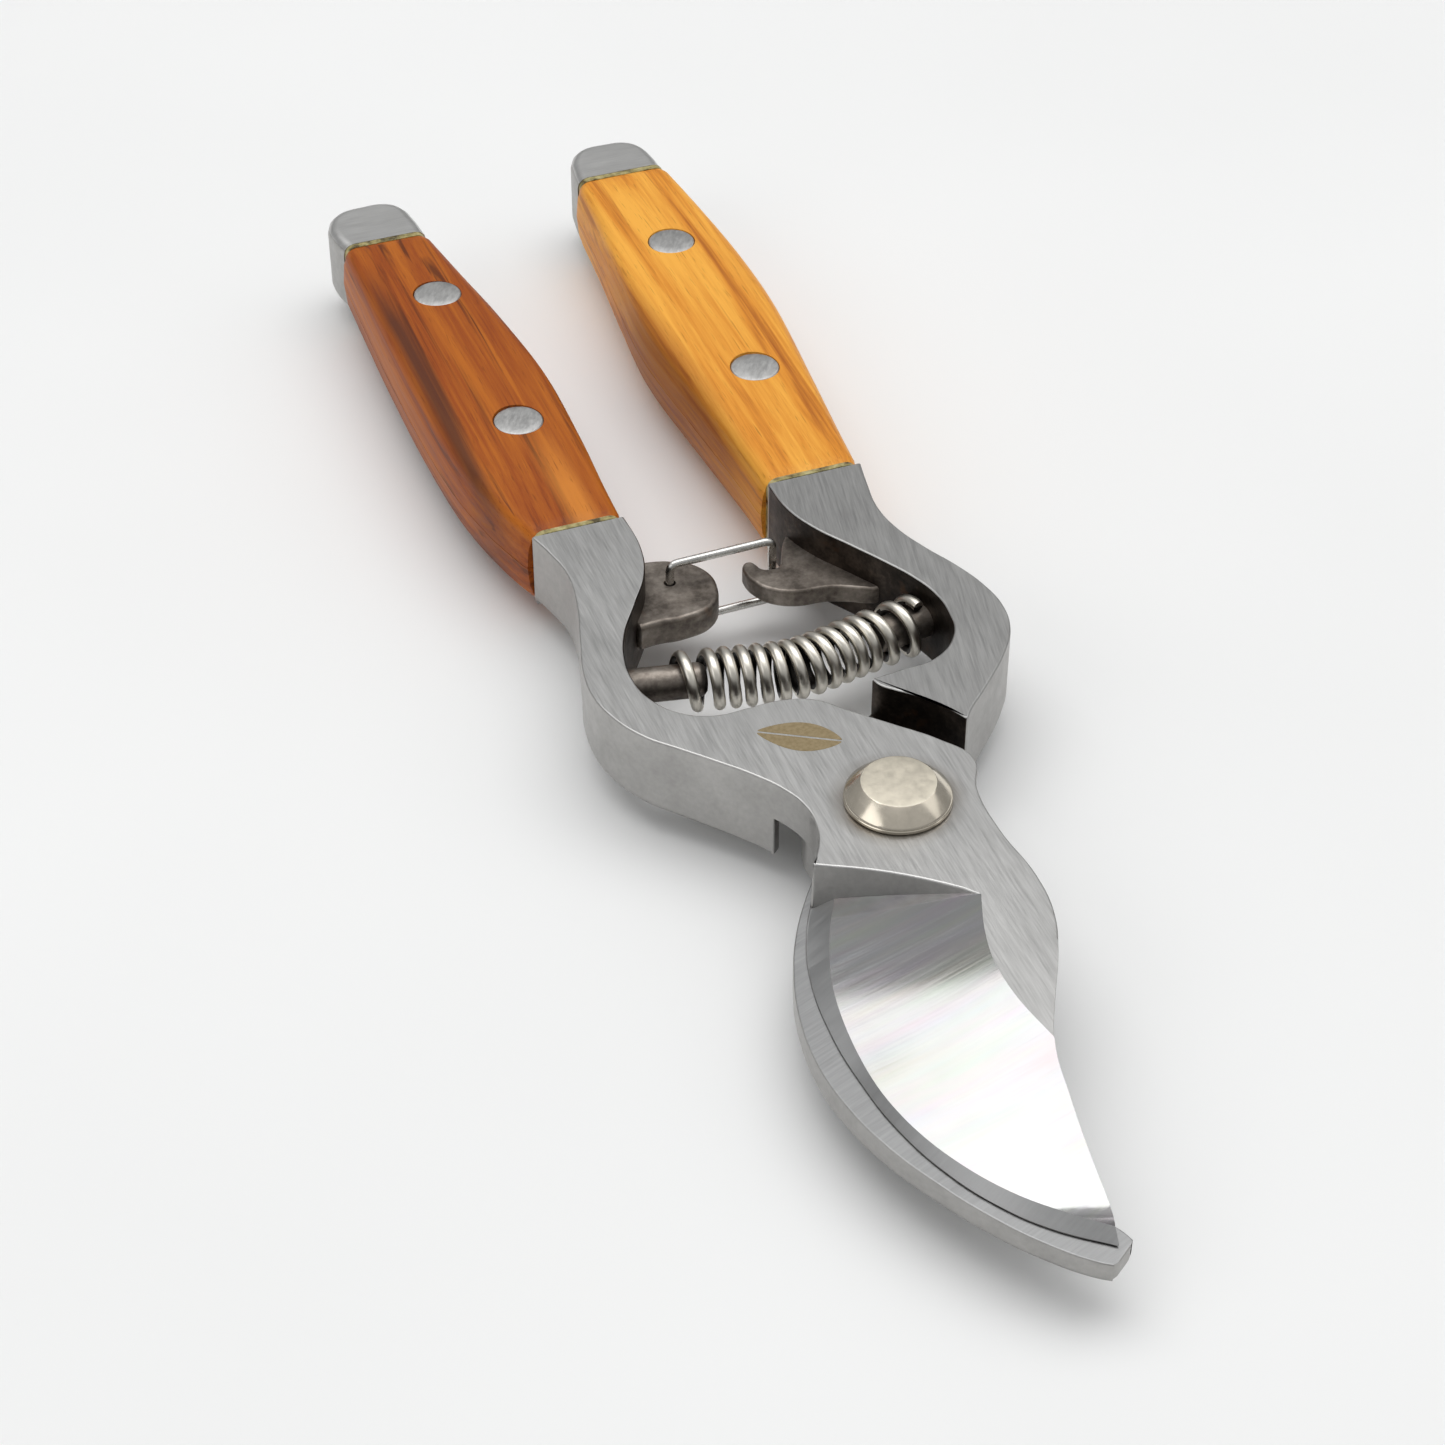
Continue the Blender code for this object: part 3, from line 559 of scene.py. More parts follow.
def brushed(name, tone, rough, turn, across, along, depth, cloud, tint=(1.0, 1.0, 1.0), sheen=0.0, stain=0.0,
            grime=False):
    """Ground steel: fine and broader straight scratches in one direction, with a faint cloudiness."""
    n = Nodes(name)
    lines = n.noise((across, along, along), 4.0, 0.65, turn)
    broad = n.noise((across * 0.16, along * 0.35, along), 3.0, 0.5, turn, (3, 1, 2))
    cloudy = n.noise(110, 3.0, 0.5)
    mixed = n.math("ADD", n.product(lines, 0.72), n.product(broad, 0.28))
    shade = n.span(mixed, 0.3, 0.7, 1.0 - cloud, 1.0 + cloud)
    shade = n.product(shade, n.span(cloudy, 0.3, 0.7, 0.96, 1.04))
    colour = n.add("ShaderNodeCombineColor")
    for number, (socket, share) in enumerate(zip(colour.inputs, tint)):
        level = n.product(shade, tone * share)
        if sheen:
            tinge = n.noise((across * 0.1, along * 0.35, along), 3.0, 0.6, turn, (number * 5, 9, 4))
            level = n.product(level, n.span(tinge, 0.3, 0.7, 1.0 - sheen, 1.0 + sheen))
        n.join(level, socket)
    colour = colour.outputs[0]
    # Painted contact shade: a brown ring that darkens the steel around the bolt head.
    if stain:
        x, y, _ = n.axes()
        away = n.math("SQRT", n.math("ADD", n.product(x, x), n.product(y, y)))
        near = n.product(n.span(away, *BOLT_HEAD_SHADE_REACH), n.span(cloudy, 0.35, 0.6, 0.3, 1.0))
        colour = n.mix(n.product(near, stain), colour, BOLT_HEAD_SHADE)
    # Grime and painted shade: the steel darkens along +Y from 9 mm on, into the shaded corner under arm A's
    # plate.
    if grime:
        _, y, _ = n.axes()
        corner = n.product(n.span(y, *GRIME_AND_SHADE_REACH), n.span(cloudy, 0.3, 0.6, 0.8, 1.0))
        colour = n.mix(corner, colour, GRIME_AND_SHADE)
    n.bump(mixed, depth)
    return n.finish(colour, n.span(mixed, 0.3, 0.7, rough - 0.06, rough + 0.08), 1.0)


def forged(name, tone, rough):
    """The sides of a forging: tumbled steel with soft pits and a slightly uneven tone."""
    n = Nodes(name)
    fine = n.noise(1500, 4.0, 0.6)
    pits = n.noise(420, 3.0, 0.5, shift=(2, 5, 1))
    cloudy = n.noise(90, 2.0, 0.5)
    shade = n.product(n.span(fine, 0.3, 0.7, 0.93, 1.06), n.span(cloudy, 0.3, 0.7, 0.9, 1.08))
    n.bump(n.math("ADD", fine, n.product(pits, 1.4)), 0.00004, 0.5)
    colour = n.tinted(shade, tone, (1.0, 0.98, 0.95))
    return n.finish(colour, n.span(pits, 0.3, 0.7, rough - 0.05, rough + 0.1), 1.0)


def scaled_steel(name, dark, middle, light, rust):
    """Forging scale: dark brown-black, worn to grey where it is rubbed, with a little rust."""
    n = Nodes(name)
    patches = n.noise(230, 4.0, 0.6)
    fine = n.noise(1500, 4.0, 0.6)
    spots = n.noise(330, 3.0, 0.6, shift=(4, 2, 7))
    worn = n.math("ADD", patches, n.span(fine, 0.3, 0.7, -0.08, 0.08))
    colour = n.ramp(worn, [(0.34, dark), (0.52, middle), (0.68, light)])
    colour = n.mix(n.span(spots, 0.62, 0.74, 0.0, rust), colour, RUST)
    n.bump(n.math("ADD", fine, n.product(patches, 2.0)), 0.00005, 0.6)
    return n.finish(colour, n.span(patches, 0.3, 0.7, 0.50, 0.36), 0.8)


def polished(name, tone, rough, tint):
    """Bright drawn or plated metal with faint handling marks."""
    n = Nodes(name)
    marks = n.noise(900, 5.0, 0.7)
    stain = n.noise(240, 2.0, 0.5, shift=(4, 1, 3))
    shade = n.product(n.span(marks, 0.35, 0.65, 0.95, 1.03), n.span(stain, 0.3, 0.7, 0.92, 1.04))
    n.bump(marks, 0.000002, 0.4)
    colour = n.tinted(shade, tone, tint)
    return n.finish(colour, n.span(marks, 0.35, 0.65, rough * 0.85, rough * 1.2), 1.0)


def wood(name, dark, middle, light, streaks, seed, features):
    """Oiled hardwood with its grain along the handle."""
    n = Nodes(name)
    shift = (seed * 7.1, seed * 3.3, seed * 1.7)
    warp = n.noise((90, 14, 90), 2.0, 0.5, shift=shift)
    bands = n.noise((330, 9, 330), 4.0, 0.6, shift=shift, distortion=0.6)
    fine = n.noise((2600, 60, 2600), 4.0, 0.7, shift=shift)
    pores = n.noise((5200, 240, 5200), 2.0, 0.5, shift=shift)
    value = n.math("ADD", n.product(bands, 0.62), n.product(warp, 0.38))
    value = n.math("ADD", value, n.span(fine, 0.3, 0.7, -0.05, 0.05))
    colour = n.ramp(value, [(0.36, dark), (0.47, middle), (0.60, light)])
    vein = n.noise((620, 10, 620), 3.0, 0.55, shift=(seed, 2, 5), distortion=0.8)
    colour = n.mix(n.span(vein, 0.60, 0.70, 0.0, streaks), colour, dark)
    # The handle's own figure, and painted shade along its left edge.
    colour = features(n, colour, warp)
    colour = n.mix(n.span(pores, 0.62, 0.74, 0.0, 0.55), colour, tuple(c * 0.45 for c in middle))
    n.bump(n.math("ADD", n.product(fine, 0.6), pores), 0.00003, 0.45)
    n.shader.inputs["Specular IOR Level"].default_value = 0.2
    return n.finish(colour, n.span(fine, 0.3, 0.7, 0.38, 0.55), 0.0, 0.04)


# ---- materials

STEEL_TINT = (1.0, 0.99, 0.97)
TOP_SCRATCHES = {"across": 6000.0, "along": 260.0, "depth": 0.000016, "cloud": 0.16, "tint": STEEL_TINT}

# Arm A's top carries a brown ring of painted contact shade around the bolt head.
steel_flat_a = brushed("steel_flat_a", 0.50, 0.34, 0, **TOP_SCRATCHES, stain=0.7)
steel_flat_b = brushed("steel_flat_b", 0.39, 0.36, 12, **TOP_SCRATCHES)
steel_side = forged("steel_side", 0.42, 0.40)
steel_scale = scaled_steel(
    "steel_scale", (0.014, 0.010, 0.008), (0.036, 0.027, 0.021), (0.085, 0.066, 0.052), 0.3,
)
forging_scale = scaled_steel(
    "forging_scale", (0.09, 0.075, 0.063), (0.20, 0.172, 0.147), (0.31, 0.275, 0.24), 0.45,
)
steel_grind = brushed(
    "steel_grind", 0.46, 0.13, 87, across=3600.0, along=110.0, depth=0.000002, cloud=0.045,
    tint=(1.0, 0.985, 0.975), sheen=0.05,
)
steel_bevel = brushed("steel_bevel", 0.36, 0.38, 76, across=4200.0, along=300.0, depth=0.000006, cloud=0.07)
steel_wall = brushed("steel_wall", 0.30, 0.4, 0, across=300.0, along=3600.0, depth=0.000008, cloud=0.14)
steel_butt = brushed(
    "steel_butt", 0.62, 0.36, 90, across=7000.0, along=300.0, depth=0.00001, cloud=0.1, tint=STEEL_TINT,
)
# The top of B's lower plate, with grime and painted shade in the corner under arm A.
steel_rim = brushed(
    "steel_rim", 0.33, 0.38, 70, across=3200.0, along=120.0, depth=0.000012, cloud=0.16, grime=True,
)
nickel = polished("nickel", 0.78, 0.17, (1.0, 0.91, 0.76))
nickel_flat = polished("nickel_flat", 0.78, 0.34, (1.0, 0.92, 0.76))
spring_metal = polished("spring_metal", 0.74, 0.33, (1.0, 0.95, 0.85))
# Near-black, for painted shade on the inside of the spring's coils.
spring_shaded_inside = polished("spring_shaded_inside", 0.05, 0.45, (1.0, 0.9, 0.8))
latch_metal = polished("latch_metal", 0.66, 0.26, (1.0, 0.98, 0.94))
rivet_metal = brushed(
    "rivet_metal", 0.52, 0.42, 35, across=2600.0, along=900.0, depth=0.00001, cloud=0.22, tint=STEEL_TINT,
)
zinc = polished("zinc", 0.6, 0.34, (0.98, 1.0, 1.0))
SPECIALS = {"flat": 0, "side": 1, "scale": 2, "grind": 3, "bevel": 4, "rim": 5, "wall": 6, "butt": 7}


def wandering(n, warp):
    """The place across the handle, moved a little so that lines in the wood aren't straight."""
    x, y, _ = n.axes()
    return n.math("ADD", x, n.span(warp, 0.3, 0.7, -0.0012, 0.0012)), y


def figure_and_shade_a(n, colour, warp):
    """Painted shade as a dark band along the outer, left edge, and one light flame near the front."""
    place, y = wandering(n, warp)
    # Painted shade: a dark band along the left edge, where the top turns down to the side.
    left_edge_shade = n.band(place, -0.0236, 0.0003, 0.0015)
    reach = n.product(n.span(y, 0.058, 0.070), n.span(y, 0.118, 0.104))
    colour = n.mix(n.product(n.product(left_edge_shade, reach), 0.8), colour, (0.060, 0.020, 0.012))
    flame = n.band(place, -0.0145, 0.0008, 0.0026)
    return n.mix(n.product(n.product(flame, n.span(y, 0.078, 0.064)), 0.75), colour, (0.70, 0.25, 0.035))


def left_shade_b(n, colour, warp):
    """Painted shade along the inner, left edge of the wood."""
    place, y = wandering(n, warp)
    # Painted shade: darker wood towards the left edge, on the side that faces away from the light.
    edge = n.span(place, 0.0085, 0.0055)
    reach = n.product(n.span(y, 0.056, 0.066), n.span(y, 0.112, 0.095))
    return n.mix(n.product(n.product(edge, reach), 0.6), colour, (0.20, 0.055, 0.010))


wood_a = wood(
    "wood_a", (0.085, 0.017, 0.003), (0.31, 0.064, 0.005), (0.47, 0.13, 0.010), 0.8, 1.0, figure_and_shade_a,
)
wood_b = wood(
    "wood_b", (0.38, 0.10, 0.010), (0.72, 0.27, 0.028), (0.90, 0.43, 0.062), 0.5, 2.6, left_shade_b,
)


def resin_look():
    n = Nodes("resin")
    lumps = n.noise(700, 3.0, 0.6)
    stops = [(0.35, (0.10, 0.075, 0.03)), (0.5, (0.36, 0.29, 0.11)), (0.65, (0.55, 0.47, 0.22))]
    colour = n.ramp(lumps, stops)
    n.bump(lumps, 0.0002, 0.6)
    n.shader.inputs["Subsurface Weight"].default_value = 0.1
    return n.finish(colour, n.span(lumps, 0.3, 0.7, 0.25, 0.45))


def etch_look():
    n = Nodes("etch")
    fine = n.noise(2400, 3.0, 0.6)
    colour = n.ramp(fine, [(0.35, (0.25, 0.19, 0.10)), (0.65, (0.33, 0.26, 0.15))])
    n.bump(fine, 0.00001, 0.5)
    return n.finish(colour, n.span(fine, 0.3, 0.7, 0.5, 0.65), 0.6)


resin = resin_look()
etch = etch_look()


# ---- the arms

HOLLOW_STEPS = 8


def grind_section(along):
    """The floor of the cutting body across the blade, at a share along its length, and its roof."""
    top = Vector((*along_line(GRIND_TOP, along), ARM_TOP))
    edge = Vector((*along_line(GRIND_EDGE, along), PLATE_A_BOTTOM + EDGE_THICKNESS))
    heights = [(height,) for height in GRIND_INNER_HEIGHT]
    inner = Vector((*along_line(GRIND_INNER, along), PLATE_A_BOTTOM + along_line(heights, along)[0]))
    floor = [top + (top - inner) * 0.25]
    for step in range(HOLLOW_STEPS):
        share = step / HOLLOW_STEPS
        place = top.lerp(inner, share)
        place.z -= HOLLOW * 4 * share * (1 - share)
        floor.append(place)
    beyond = edge + (edge - inner) * 1.2
    beyond.z = edge.z
    floor += [inner, edge, beyond]
    roof = [Vector((place.x, place.y, ARM_TOP + 4.0)) for place in floor]
    return floor + roof[::-1]


def on_grind_wall(place):
    """Moves a point along the blade onto the bowed, leaning wall where the grinding starts."""
    first, second, third = (Vector(corner) for corner in GRIND_WALL)
    facing = (second - first).cross(third - first)
    way = Vector((0.35, 0.94, 0.0))
    share = min(max((first.x - place.x) / (first.x - second.x), 0.0), 1.0)
    bow = GRIND_WALL_BOW * 4 * share * (1 - share)
    return place + way * (facing.dot(first - place) / facing.dot(way) + bow)


def grind_cutter():
    """The body that grinding takes away, with its looks: hollow face, second bevel and end walls."""
    rows = 80
    sections = [[on_grind_wall(place) for place in grind_section(0.0)]]
    sections += [grind_section((row / rows) ** 1.2) for row in range(2, rows + 1)]
    bm = bmesh.new()
    rings = [[bm.verts.new(place) for place in section] for section in sections]
    count = len(rings[0])
    for ring, following in zip(rings, rings[1:]):
        for k in range(count):
            after = (k + 1) % count
            face = bm.faces.new((ring[k], ring[after], following[after], following[k]))
            face.material_index = SPECIALS["grind"] if k <= HOLLOW_STEPS else SPECIALS["bevel"]
    for ring in (rings[0], rings[-1]):
        for k in range(count // 2 - 1):
            face = bm.faces.new((ring[k], ring[k + 1], ring[count - 2 - k], ring[count - 1 - k]))
            face.material_index = SPECIALS["wall"]
    return from_bmesh(bm, "grind")


def dress(obj, flat):
    """Gives an arm its materials, in the order that SPECIALS numbers them."""
    for look in (flat, steel_side, steel_scale, steel_grind, steel_bevel, steel_rim, steel_wall, steel_butt):
        obj.data.materials.append(look)


def clean_flats(obj):
    """Makes each level face one face again."""
    bm = bmesh.new()
    bm.from_mesh(obj.data)
    bmesh.ops.remove_doubles(bm, verts=bm.verts[:], dist=0.000002)
    level = []
    for edge in bm.edges:
        faces = edge.link_faces
        if len(faces) == 2 and all(abs(face.normal.z) > 0.9995 for face in faces):
            same_side = faces[0].normal.z * faces[1].normal.z > 0
            if same_side and faces[0].material_index == faces[1].material_index:
                level.append(edge)
    bmesh.ops.dissolve_edges(bm, edges=level, use_verts=False)
    bm.to_mesh(obj.data)
    bm.free()


def tell_walls(obj, bay):
    """Gives butts and upright walls their looks: black scale inside the bow, tumbled steel outside."""
    ground = (SPECIALS["grind"], SPECIALS["bevel"])
    for polygon in obj.data.polygons:
        level = abs(polygon.normal.z) > 0.6
        centre = polygon.center / MM
        if level and centre.y > BUTTS_FROM:
            polygon.material_index = SPECIALS["butt"]
        if level or polygon.material_index in ground:
            continue
        inside = bay(centre, polygon.normal)
        polygon.material_index = SPECIALS["scale"] if inside else SPECIALS["side"]


ROUNDING = 2.2


def edge_share(edge):
    """The share of the widest rounding that an edge gets: fine on top, wide below and on the butts."""
    kinds = {face.material_index for face in edge.link_faces}
    middle = sum((vert.co for vert in edge.verts), Vector()) / 2 / MM
    upright = abs(edge.verts[0].co.z - edge.verts[1].co.z) > 0.0005
    if kinds & {SPECIALS["grind"], SPECIALS["bevel"], SPECIALS["wall"]}:
        return 0.0
    if middle.y > BUTTS_FROM:
        butt = BUTT_A if middle.x < 0 else BUTT_B
        if abs(middle.y - butt[0][1]) < 0.05:
            return 0.0
        return 0.45 if upright else 0.65
    if upright:
        return 0.4 if middle.y < -55 else 0.15
    if middle.z > PLATE_A_BOTTOM + 1.0:
        return 0.02 if middle.y < -24 else 0.11
    if middle.z > HOOK_BOTTOM + 1.6:
        return 0.08
    return lower_edge_share(edge, middle)


def lower_edge_share(edge, middle):
    """None at the wood and around the pivot, little inside the bay, and more towards the handles."""
    if middle.y > 56.3:
        return 0.0
    if middle.y < 7:
        return 0.4 if middle.y < -6 else 0.0
    centre = Vector((0.0, BAY_MIDDLE if middle.y > 17 else 8.0))
    outward = middle.xy - centre
    if any(abs(face.normal.z) < 0.5 and face.normal.xy.dot(outward) <= 0 for face in edge.link_faces):
        return 0.0 if middle.y < 26 else 0.25
    return min(0.8, 0.1 + (middle.y - 7) * 0.04)


def build_arm(name, flat, outline, cut, tang, butt):
    """One forging: its outline less the other arm's half of the lap, with its tang, butt and bore."""
    low, high, step = cut
    body = slab(name + "_steel", outline, ARM_BOTTOM, ARM_TOP)
    dress(body, flat)
    body = boolean(body, slab("lap", step, low, high))
    left = [(x - TANG_HALF_WIDTH, y, 1) for y, x in tang]
    right = [(x + TANG_HALF_WIDTH, y, 1) for y, x in tang]
    core = slab("tang", right + left[::-1], MID - TANG_HALF_HEIGHT, MID + TANG_HALF_HEIGHT)
    body = boolean(body, core, "UNION")
    body = boolean(body, slab("butt", butt, ARM_BOTTOM, ARM_TOP, 10), "UNION")
    return boolean(body, rod("bore", SHANK_RADIUS + BORE_PLAY, -1.0, 16.0, (0.0, 0.0), 64))


def bay_of_a(centre, normal):
    """Whether a wall of arm A faces the bay between the bows, where the forging scale is left."""
    inside = 17.0 < centre.y < 56.0 and -20.0 < centre.x < 4.0
    towards = (Vector((0.0, BAY_MIDDLE, 0.0)) - centre).xy
    return inside and towards.dot(normal.xy) > 0


def bay_of_b(centre, normal):
    """The same for arm B, whose lap step is scaled too."""
    inside = 8.0 < centre.y < 56.0 and -10.0 < centre.x < 20.0
    towards = (Vector((0.0, BAY_MIDDLE if centre.y > 20 else 0.0, 0.0)) - centre).xy
    return inside and towards.dot(normal.xy) > 0


arm_a = build_arm(
    "arm_a", steel_flat_a, BOW_A_OUTER + BLADE_EDGE + BLADE_SPINE + BOW_A_INNER,
    (-1.0, PLATE_A_BOTTOM, STEP_A), TANG_A, BUTT_A,
)
arm_a = boolean(arm_a, grind_cutter(), crossing=True)
clean_flats(arm_a)
tell_walls(arm_a, bay_of_a)
arm_a = round_edges(arm_a, ROUNDING, edge_share)
piece(arm_a, "arm_a", "steel_arm_a", "arm_a_upper_blade")

arm_b = build_arm(
    "arm_b", steel_flat_b, BOW_B_INNER + HOOK_OUTER + HOOK_INNER + BOW_B_OUTER,
    (PLATE_B_TOP, 17.0, STEP_B), TANG_B, BUTT_B,
)
# The hook gets thinner towards its tip: its underside rises in front of y = -12 mm.
THIN_FROM = -12
thin = slab(
    "thin", [(-30, THIN_FROM, 1), (20, THIN_FROM, 1), (20, -70, 1), (-30, -70, 1)], -1.0, HOOK_BOTTOM,
)
for vert in thin.data.vertices:
    if vert.co.z > 0:
        vert.co.z -= (vert.co.y - THIN_FROM * MM) * HOOK_TAPER
arm_b = boolean(arm_b, thin)
clean_flats(arm_b)
for polygon in arm_b.data.polygons:
    if polygon.normal.z > 0.99 and polygon.center.z < (PLATE_B_TOP + 0.1) * MM:
        polygon.material_index = SPECIALS["rim"]
tell_walls(arm_b, bay_of_b)
arm_b = round_edges(arm_b, ROUNDING, edge_share)
piece(arm_b, "arm_b", "steel_arm_b", "arm_b_lower_blade")


def small_forging(name, outline, low, high, rounding, body, slot_name, hole=None):
    """A lug or hook on an arm. The edges of its hole are rounded less than the others."""
    made = slab(name, outline, low, high)
    made.data.materials.append(forging_scale)
    if hole:
        made = boolean(made, rod("hole", LATCH_WIRE + LATCH_PLAY, low - 1.0, high + 1.0, hole, 24))

    def share(edge):
        away = (edge.verts[0].co.xy / MM - Vector(hole or (0.0, 0.0))).length
        return 0.2 if away < 1.0 else 1.0

    made = round_edges(made, rounding, share, 4)
    return piece(made, body, slot_name)


small_forging("latch_lug", LUG, 6.0, 9.5, 0.6, "arm_a", "steel_arm_a", LATCH_HOLE)
small_forging("latch_hook", LATCH_HOOK, 6.6, 9.0, 0.4, "arm_b", "steel_arm_b")


# ---- pivot

HEAD_FOOT = ARM_TOP + 0.02
HEAD_TOP = 15.5
SHANK = 3.9
THREAD = 2.6
HEAD = [
    (5.50, 0.92), (5.62, 0.80), (5.66, 0.70), (5.60, 0.62), (5.60, 0.52), (5.68, 0.44), (5.70, 0.2),
    (5.62, 0.05), (5.5, 0.0), (SHANK, 0.0),
]
bolt_profile = [(0.0, HEAD_TOP), (3.7, HEAD_TOP), (3.95, HEAD_TOP - 0.02), (4.08, HEAD_TOP - 0.10)]
bolt_profile += [(radius, HEAD_FOOT + height) for radius, height in HEAD]
bolt_profile += [(SHANK, 2.6), (THREAD, 1.9), (THREAD, 0.35), (2.3, 0.0), (0.0, 0.0)]
bolt = turned("bolt_head", bolt_profile, 96)
bolt.data.materials.append(nickel)
bolt.data.materials.append(nickel_flat)
for polygon in bolt.data.polygons:
    if polygon.normal.z > 0.98 and polygon.center.z > (HEAD_TOP - 0.05) * MM:
        polygon.material_index = 1
smooth(bolt, 24)
piece(bolt, "arm_a", "nickel_bolt", "pivot_bolt")
for node in ("pivot_washer", "pivot_nut"):
    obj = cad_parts[node]
    obj.data.materials.clear()
    obj.data.materials.append(zinc)
    soft = obj.modifiers.new("edges", "BEVEL")
    soft.width = 0.12 * MM
    soft.segments = 2
    soft.limit_method = "ANGLE"


# ---- spring, studs and latch


def stud(name, ends, body, node):
    """A pin that stands in an arm and holds one end of the spring."""
    root = Vector((*ends[0], MID))
    tip = Vector((*ends[1], MID))
    length = (tip - root).length
    place = Matrix.Translation(root) @ (tip - root).to_track_quat("Z", "Y").to_matrix().to_4x4()
    profile = [
        (0.0, length), (1.0, length), (1.35, length - 0.08), (1.7, length - 0.35), (1.95, length - 0.8),
        (STUD_RADIUS, length - 1.3), (STUD_RADIUS, 0.0), (0.0, 0.0),
    ]
    made = turned(name, profile, 48, place)
    made.data.materials.append(forging_scale)
    smooth(made, 40)
    return piece(made, body, "dark_stud", node)


stud("stud_a", STUD_A, "arm_a", "spring_stud_a")
stud("stud_b", STUD_B, "arm_b", "spring_stud_b")


def spring_reach(turns):
    """How far along X the wire is after some turns."""
    for (start, low), (end, high) in zip(SPRING_PACE, SPRING_PACE[1:]):
        if turns <= end:
            return low + (high - low) * (turns - start) / (end - start)
    return SPRING_PACE[-1][1]


SPRING_STEPS = 36
SPRING_START = 0.08


def spring_places():
    """The places along the spring's wire, wound around its bowed middle line."""
    places = []
    for step in range(round(SPRING_PACE[-1][0] * SPRING_STEPS) + 1):
        turns = step / SPRING_STEPS
        share = share_at(SPRING_LINE, spring_reach(turns))
        x, y = along_line(SPRING_LINE, share)
        before = Vector(along_line(SPRING_LINE, max(share - 0.01, 0.0)))
        after = Vector(along_line(SPRING_LINE, min(share + 0.01, 1.0)))
        ahead = after - before
        side = Vector((-ahead.y, ahead.x)).normalized()
        angle = math.tau * (turns - SPRING_START)
        places.append((
            x + side.x * SPRING_RADIUS * math.cos(angle),
            y + side.y * SPRING_RADIUS * math.cos(angle),
            MID + SPRING_RADIUS * math.sin(angle),
        ))
    return places


spring = wire("spring_coil", spring_places(), SPRING_WIRE)
spring.data.materials.append(spring_metal)
spring.data.materials.append(spring_shaded_inside)
spring_axis = [Vector((*along_line(SPRING_LINE, step / 200), MID)) for step in range(201)]
# The half of the wire that faces the coil's axis gets the near-black material: painted shade inside the
# spring.
for polygon in spring.data.polygons:
    centre = polygon.center / MM
    if min((centre - spot).length for spot in spring_axis) < SPRING_RADIUS - 0.05:
        polygon.material_index = 1
smooth(spring, 60)
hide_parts("return_spring")
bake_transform(spring, "arm_a", "arm_b", start=(-17 * MM, 30 * MM, MID * MM), end=(17 * MM, 30 * MM, MID * MM))

latch_corners = [
    (*LATCH_HOLE, 7.9), (*LATCH_HOLE, LATCH_TOP), (*LATCH_BAR, LATCH_TOP), (*LATCH_BAR, LATCH_FOOT),
    (*LATCH_HOLE, LATCH_FOOT), (*LATCH_HOLE, 7.2),
]
latch = wire("latch_loop", rounded_path(latch_corners, LATCH_BEND), LATCH_WIRE)
latch.data.materials.append(latch_metal)
smooth(latch, 60)
piece(latch, "latch", "latch_steel", "latch_wire")


# ---- wooden scales


SIDE_STEPS = 5
CORNER_STEPS = 8
FACE_STEPS = 14
WOOD_ROWS = 72
WOOD_START = 0.3
WOOD_END = 0.5
HALF_HEIGHT = (ARM_TOP - ARM_BOTTOM) / 2


def crown_height(line, y):
    """How far the middle of a scale stands above its sides."""
    share = (y - line[0][0]) / (line[-1][0] - line[0][0])
    return CROWN * math.sin(math.pi * min(max(share, 0.0), 1.0)) ** 0.7


def wood_section(line, y, side):
    """The section of one scale around its middle: side, round corner, crowned face, round corner, side."""
    _, left, right = along_line(line, share_at(line, y))
    base = MID + side * 0.04
    face = ARM_TOP if side > 0 else ARM_BOTTOM
    crown = crown_height(line, y)
    half = (right - left) / 2
    middle = (left + right) / 2

    def bulged(x, sign, height):
        share = 1 - abs(height - base) / HALF_HEIGHT
        return x + sign * SIDE_BULGE * max(share, 0.0) ** 0.8

    def face_height(x):
        return face + side * crown * (1 - ((x - middle) / half) ** 2)

    side_heights = [
        base + side * (abs(face - base) - CORNER_ROUND) * step / SIDE_STEPS for step in range(1, SIDE_STEPS)
    ]
    bends = [math.radians(90 * step / CORNER_STEPS) for step in range(CORNER_STEPS + 1)]
    pairs = [(bulged(left, -1, base), base)]
    pairs += [(bulged(left, -1, z), z) for z in side_heights]
    for angle in bends:
        x = left + CORNER_ROUND * (1 - math.cos(angle))
        pairs.append((x, face_height(x) - side * CORNER_ROUND * (1 - math.sin(angle))))
    for step in range(1, FACE_STEPS):
        x = left + CORNER_ROUND + (right - left - 2 * CORNER_ROUND) * step / FACE_STEPS
        pairs.append((x, face_height(x)))
    for angle in bends:
        x = right - CORNER_ROUND * (1 - math.sin(angle))
        pairs.append((x, face_height(x) - side * CORNER_ROUND * (1 - math.cos(angle))))
    pairs += [(bulged(right, 1, z), z) for z in side_heights[::-1]]
    pairs.append((bulged(right, 1, base), base))
    return pairs


def scale(name, line, rivets, side, look, body, slot_name, node):
    """One wooden scale, bored for its rivets, with its two ends eased a little."""
    start = line[0][0] + WOOD_START
    length = line[-1][0] - WOOD_END - start

    def place(around, along):
        y = start + length * along
        x, z = wood_section(line, y, side)[around]
        ease = max(1 - min(along, 1 - along) * length / 0.5, 0.0) * 0.22
        middle = sum(along_line(line, share_at(line, y))[1:]) / 2
        return (x + (middle - x) * ease * 0.08, y, z - side * ease * abs(z - MID) / HALF_HEIGHT)

    made = shell(name, len(wood_section(line, start, side)), WOOD_ROWS, place)
    made.data.materials.append(look)
    for spot in rivets:
        made = boolean(made, rod("hole", RIVET_RADIUS + RIVET_PLAY, -1.0, 18.0, spot, 64))
    smooth(made, 35)
    return piece(made, body, slot_name, node)


